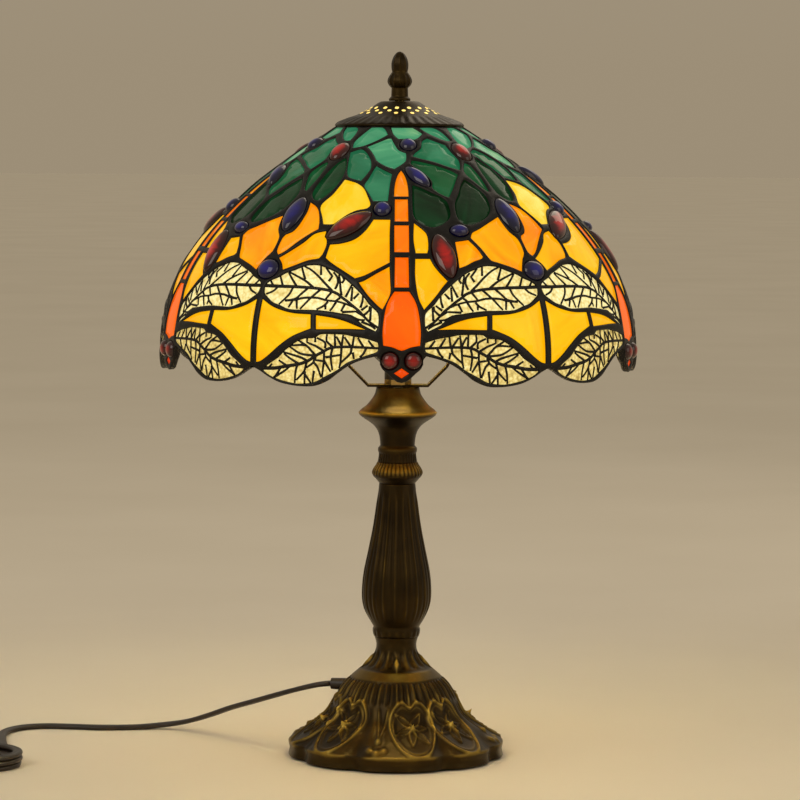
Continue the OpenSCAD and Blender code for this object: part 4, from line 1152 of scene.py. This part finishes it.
FOOT_Z = 1.2
FOOT_R = 68.9
FOOT_RIM_Z = 9.6
NECK_Z = 77
COLLAR_Z = 175.5
CUP_Z = 188.8
PIPE_R = 5
NOTCH_TURNS = [-24.5, 27]
PAD_TURNS = [12, 45.5]
PAD_HEART = 25
PAD_HALF = 14.2
PAD_ABOVE = 21.5
PAD_BELOW = 25
TASSEL_TURN = -12
# Seeds of a tassel: (across, up the foot's slope, size)
SEEDS = [(0, 14.5, 1.8), (-4.6, 6.5, 2.2), (0, 4.4, 2.2), (4.6, 6.5, 2.2)]
PETAL_DROP = 1.5
PETAL_HALF = 2.2
# Petals: (lean from upright in degrees, length)
PETALS = [(-42, 14.5), (30, 12.5), (-118, 13), (-172, 16), (148, 17), (92, 10)]


def around(angle, centre):
    """Signed turn from the nearest of the four copies of a centre."""
    return (angle - centre + 45) % 90 - 45


def star_flower(u, w):
    """Outlined petals round a boss, u millimetres across and w up from its heart."""
    height = 1.3 * bump_at(np.hypot(u, w), 1.9)
    for lean, long in PETALS:
        along = u * math.sin(lean * RAD) + w * math.cos(lean * RAD)
        beside = np.abs(u * math.cos(lean * RAD) - w * math.sin(lean * RAD))
        half = PETAL_HALF * np.sin(math.pi * np.clip(along / long, 0, 1) ** 0.8)
        within = (along > 0) & (along < long)
        height += within * (bump_at(beside - half, 0.55) + 0.35 * (beside < half))
    return height


def lily_pad(u, w):
    """A sunk leaf with a double rim, notched at its top over a short stalk, and its flower."""
    tall = np.where(w > 0, PAD_ABOVE * (1 - 0.26 * bump_at(u, 3.2)), PAD_BELOW)
    edge = (np.hypot(u / PAD_HALF, w / tall) - 1) * 15
    rims = 1.5 * bump_at(edge, 0.8) + 0.5 * bump_at(edge + 2.3, 0.6)
    sunk = 0.7 * smooth_step(-(edge + 2.6) / 2.5) * bump_at(w - 2, 16)
    stalk = 0.5 * bump_at(u, 0.7) * between(w, 13, 3, 26, 4)
    return rims - sunk + stalk + star_flower(u, w - PETAL_DROP)


def tassel(u, climb):
    """Two thin stems that part as they climb, over four seeds."""
    stems = bump_at(np.abs(u) - 0.11 * np.clip(climb - 12, 0, 40), 0.7)
    height = 0.9 * stems * between(climb, 12, 3, 42, 5)
    for side, level, size in SEEDS:
        height += 1.5 * bump_at(np.hypot(u - side, (climb - level) / 1.35), size)
    return height


def foot_folds(angle, z):
    """Gathers under the band, looser folds below them, and soft flutes above the band."""
    turn = angle * RAD
    gathers = between(z, 36, 6, 50.5, 1.0) * (
        0.55 * np.cos(56 * turn + 1.3 * np.sin(8 * turn)) + 0.25 * np.cos(23 * turn))
    folds = 0.35 * between(z, 14, 10, 40, 8) * np.cos(28 * turn + 0.1 * z)
    return gathers + folds + 0.5 * between(z, 57.5, 2, 70, 5) * np.cos(16 * turn)


def foot_relief(angle, v, r, z):
    """Lily pads with a star flower on each, tassels between them, and gathers under a band."""
    climb = v - (FOOT_RIM_Z - FOOT_Z)
    height = foot_folds(angle, z) + 0.7 * between(z, 50.3, 0.6, 57, 1.6)
    for centre in PAD_TURNS:
        height += lily_pad(around(angle, centre) * RAD * r, climb - PAD_HEART)
    height += tassel(around(angle, TASSEL_TURN) * RAD * r, climb)
    heart = np.abs(around(angle, 0) * RAD * r)
    height += 1.3 * smooth_step((2.6 - heart - 0.45 * np.abs(z - 60.5)) / 1.6)
    height *= smooth_step(climb / 1.5)
    notch = sum(bump_at(around(angle, turn), 5.5) for turn in NOTCH_TURNS)
    swell = 1 - smooth_step(climb / 22)
    inward = 3.6 * notch * swell + 0.8 * bump_at(climb + 4.5, 3.0)
    wear = np.clip(height * 0.42 + 0.12 + 0.5 * bump_at(climb, 1.3) * (1 - notch), 0, 1)
    return height, inward, wear


RIB_SPACING = 20
RIB_TURN = -4


def baluster_relief(angle, v, r, z):
    """Thin raised ribs that draw together as the column narrows, over a beaded lower ring."""
    turn = (angle - RIB_TURN + RIB_SPACING / 2) % RIB_SPACING - RIB_SPACING / 2
    u = turn * RAD * r
    rib = 0.45 * bump_at(u, 0.62) - 0.3 * (bump_at(u - 1.6, 0.9) + bump_at(u + 1.6, 0.9))
    beads = 0.25 * between(z, 77.5, 1, 82, 2) * np.cos(angle * RAD * 20)
    height = between(z, 86, 10, 173, 12) * rib + beads
    return height, np.zeros_like(v), np.clip(height * 0.6 + 0.05, 0, 1)


def collar_relief(angle, v, r, z):
    """Fine beads that stand out on the upper shoulder and run up into the cove."""
    share = smooth_step((z - 179.5) / 2.5)
    ridge = np.abs(np.cos(angle * RAD * 18)) ** 0.7
    height = share * (0.6 * ridge - 0.35)
    shoulder = bump_at(z - 184, 3.5)
    return height, np.zeros_like(v), np.clip(ridge * share * (0.25 + 0.4 * shoulder), 0, 1)


def cup_relief(angle, v, r, z):
    """Fine reeds round the foot of the cup, and its rim and bead rubbed bright."""
    height = 0.22 * between(z, CUP_Z + 0.2, 0.8, 195, 0.8) * np.cos(angle * RAD * 36)
    rim = bump_at(z - 220.5, 1.1) * (r > 22)
    wear = 0.75 * rim + 0.22 * (z > 221) + 0.3 * bump_at(z - 197, 1.2)
    return height, np.zeros_like(v), np.clip(wear, 0, 1)


def finial_relief(angle, v, r, z):
    """Grooves that part the acorn into eight lobes and the bulge under it into twelve."""
    turn = angle * RAD
    acorn = 0.3 * between(z, 436.5, 2, 448.5, 2) * np.abs(np.sin(4 * turn))
    bulge = 0.45 * between(z, 426.5, 2, 436, 2) * np.abs(np.sin(6 * turn))
    height = -acorn - bulge
    return height, np.zeros_like(v), np.clip(0.2 + height, 0, 1)


def cap_relief(angle, v, r, z):
    """Fine flutes round the cap's skirt."""
    flutes = 0.25 * between(r, 27, 6, 40.5, 1.5) * np.cos(angle * RAD * 40)
    return flutes, np.zeros_like(v), np.clip(0.2 * bump_at(r - 12, 2), 0, 1)


CAP_OUTER = [[40.3, 401.9], [41, 402.6], [40.6, 403.6], [38.4, 404.9], [34, 406.7], [26.5, 409.6],
             [19.7, 412.9], [12.6, 417.5], [10.4, 418], [3.4, 418]]
CAP_INNER = [[3.4, 416.8], [10.2, 416.8], [19.3, 411.7], [26.2, 408.4], [33.7, 405.5],
             [38.6, 403.2]]
CAP_BEND = 6
VENT_ROWS = [18.4, 21.5, 24.6]
VENTS = 15
VENT_R = 1.35
VENT_SIDES = 10
VENT_RISE = 0.12
VENT_SINK = 0.6


def make_cap(materials):
    """The spun cap, with a rolled edge on the glass."""
    cap = lathe("vented_cap", CAP_OUTER, CAP_INNER, 240, cap_relief, materials["bronze"], 0.8)
    settle(cap, "shade", "bronze", "shade_cap")


def make_vents(materials):
    """Painted lamplight in the cap's vents: shallow glowing lenses in rows, on its two steeper parts,
    standing in for the light seen through the holes.
    """
    verts, faces = [], []
    for row, r in enumerate(VENT_ROWS):
        low = CAP_BEND - 1 if r > CAP_OUTER[CAP_BEND][0] else CAP_BEND
        (ra, za), (rb, zb) = CAP_OUTER[low:low + 2]
        slope = math.atan2(zb - za, ra - rb)
        z = za + (zb - za) * (ra - r) / (ra - rb)
        for i in range(VENTS):
            turn = (i + 0.5 * (row % 2) - 0.25) * 2 * math.pi / VENTS
            out = Vector((math.sin(turn), -math.cos(turn), 0))
            across = Vector((math.cos(turn), math.sin(turn), 0))
            down = out * math.cos(slope) - Vector((0, 0, math.sin(slope)))
            normal = out * math.sin(slope) + Vector((0, 0, math.cos(slope)))
            middle = out * r + Vector((0, 0, z)) + normal * VENT_RISE
            start, tip = len(verts), len(verts) + VENT_SIDES
            verts += [middle + across * VENT_R * math.cos(a) + down * VENT_R * math.sin(a)
                      for a in np.arange(VENT_SIDES) * 2 * math.pi / VENT_SIDES]
            verts.append(middle - normal * VENT_SINK)
            faces.append(list(range(start, tip))[::-1])
            faces += [[start + k, start + (k + 1) % VENT_SIDES, tip] for k in range(VENT_SIDES)]
    glow = make_mesh("lit_vents", verts, faces, materials["vent"], smooth=False)
    settle(glow, "shade", "filament", "shade_cap")


def make_foot(bronze):
    foot = lathe(
        "cast_foot",
        [[FOOT_R, FOOT_Z], [FOOT_R, FOOT_RIM_Z], [61.5, 14.4], [54.5, 19.4], [49, 23.1], [44.4, 27],
         [41.8, 30.6], [40, 34.5], [38.2, 38.2], [36, 42], [33.8, 45.5], [31, 48.6], [27, 52],
         [22.4, 56], [17.6, 60], [14, 65], [12.8, 71.6], [14, NECK_Z]],
        [[PIPE_R, NECK_Z], [PIPE_R, 50], [16, 50], [25.5, 46], [31.5, 39.5], [35.5, 32],
         [40.5, 24], [51.5, 16.5], [60, 9], [60, FOOT_Z]], 480, foot_relief, bronze, 0.8)
    settle(foot, "root", "bronze", "base_casting")


def make_baluster(bronze):
    baluster = lathe(
        "fluted_baluster",
        [[14.4, NECK_Z], [15, 80.5], [15.2, 81.8], [14.6, 83], [18.9, 90.7], [21.4, 98], [22, 106],
         [21, 117.6], [17.9, 133], [15, 148], [12.8, 163.6], [11.5, COLLAR_Z]],
        [[PIPE_R, COLLAR_Z], [PIPE_R, NECK_Z]], 240, baluster_relief, bronze, 1.2)
    settle(baluster, "root", "bronze", "column_baluster")


def make_collar(bronze):
    collar = lathe(
        "gadrooned_collar",
        [[11.6, COLLAR_Z], [13.9, 178.2], [15.5, 180.1], [16, 182.4], [15, 184.9], [13.6, 186.9],
         [12.6, CUP_Z]], [[PIPE_R, CUP_Z], [PIPE_R, COLLAR_Z]], 192, collar_relief, bronze, 0.6)
    settle(collar, "root", "bronze", "column_collar")


def make_cup(bronze):
    cup = lathe(
        "socket_cup_casting",
        [[12.5, CUP_Z], [12, 191], [11.7, 194.2], [12.3, 195.5], [12.5, 196.8], [12.3, 198],
         [11, 199.5], [11.3, 203], [11.8, 206], [13.2, 209.6], [16, 213], [24, 218.6], [25, 220.5],
         [23.4, 222.4], [20, 225], [17.5, 228], [15.6, 230.7], [14.5, 233], [13.6, 237.0]],
        [[10.5, 237.0], [10.5, 229], [PIPE_R, 229], [PIPE_R, CUP_Z]], 160, cup_relief, bronze, 0.8)
    settle(cup, "root", "bronze", "socket_cup")


def make_finial(bronze):
    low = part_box("finial")[0].z / MM
    finial = lathe(
        "acorn_finial",
        [[6.7, low], [6.9, low + 1.2], [5.4, low + 2.8], [5.2, low + 8], [7, low + 10],
         [7.8, low + 12.4], [7, low + 15], [4.9, low + 18.2], [5.3, low + 20.5], [5.3, low + 24],
         [4.2, low + 27.5], [2, low + 30.4], [0.05, low + 31.15]],
        [[0.05, low + 18], [3.2, low + 18], [3.2, low]], 96, finial_relief, bronze, 0.5)
    settle(finial, "finial", "bronze", "finial")


# ------------------------------------------------------------------ stage
def add_area(name, place, aim_z, size, watts, colour):
    """A square lamp, in metres, turned to a height on the lamp's own axis."""
    data = bpy.data.lights.new(name, "AREA")
    data.energy = watts
    data.size = size
    data.color = colour
    light = bpy.data.objects.new(name, data)
    bpy.context.scene.collection.objects.link(light)
    light.location = place
    light.rotation_mode = "QUATERNION"
    light.rotation_quaternion = (Vector((0, 0, aim_z)) - Vector(place)).to_track_quat("-Z", "Y")


FLOOR_R = 30000
FLOOR_SIDES = 96


def make_stage():
    """A wide pale floor and three soft lights."""
    turns = [i * 2 * math.pi / FLOOR_SIDES for i in range(FLOOR_SIDES)]
    verts = [[FLOOR_R * math.cos(t), FLOOR_R * math.sin(t), 0] for t in turns]
    paper = mottled("pale_paper", (0.80, 0.72, 0.59), (0.84, 0.76, 0.63), 0.8, 0, 3, 0.05, 400)
    make_mesh("floor", verts, [range(len(verts))], paper, smooth=False)
    add_area("key_light", (-1.5, -1.9, 1.7), 0.2, 1.6, 16, (1.0, 0.93, 0.82))
    add_area("fill_light", (1.9, -1.2, 1.0), 0.25, 1.6, 6, (1.0, 0.9, 0.76))
    add_area("rim_light", (0.6, 1.2, 1.5), 0.2, 1.0, 3, (1.0, 0.88, 0.7))


def make_world():
    """An even room that meets the floor's tone at the horizon and pales above it."""
    world = bpy.data.worlds.new("studio")
    world.use_nodes = True
    tree = world.node_tree
    split = tree.nodes.new("ShaderNodeSeparateXYZ")
    tree.links.new(tree.nodes.new("ShaderNodeTexCoord").outputs["Generated"], split.inputs["Vector"])
    sky = add_ramp(tree, split.outputs["Z"], [(0.02, (0.335, 0.272, 0.186)),
                                              (0.4, (0.42, 0.375, 0.30))])
    tree.links.new(sky, tree.nodes["Background"].inputs["Color"])
    bpy.context.scene.world = world
    bpy.context.scene.view_settings.view_transform = "Standard"


make_camera()
materials = make_materials()
make_cord(materials)
finish_cad_nodes(materials)
make_shade(materials)
for make_casting in (make_foot, make_baluster, make_collar, make_cup, make_finial):
    make_casting(materials["bronze"])
make_cap(materials)
make_vents(materials)
make_stage()
make_world()
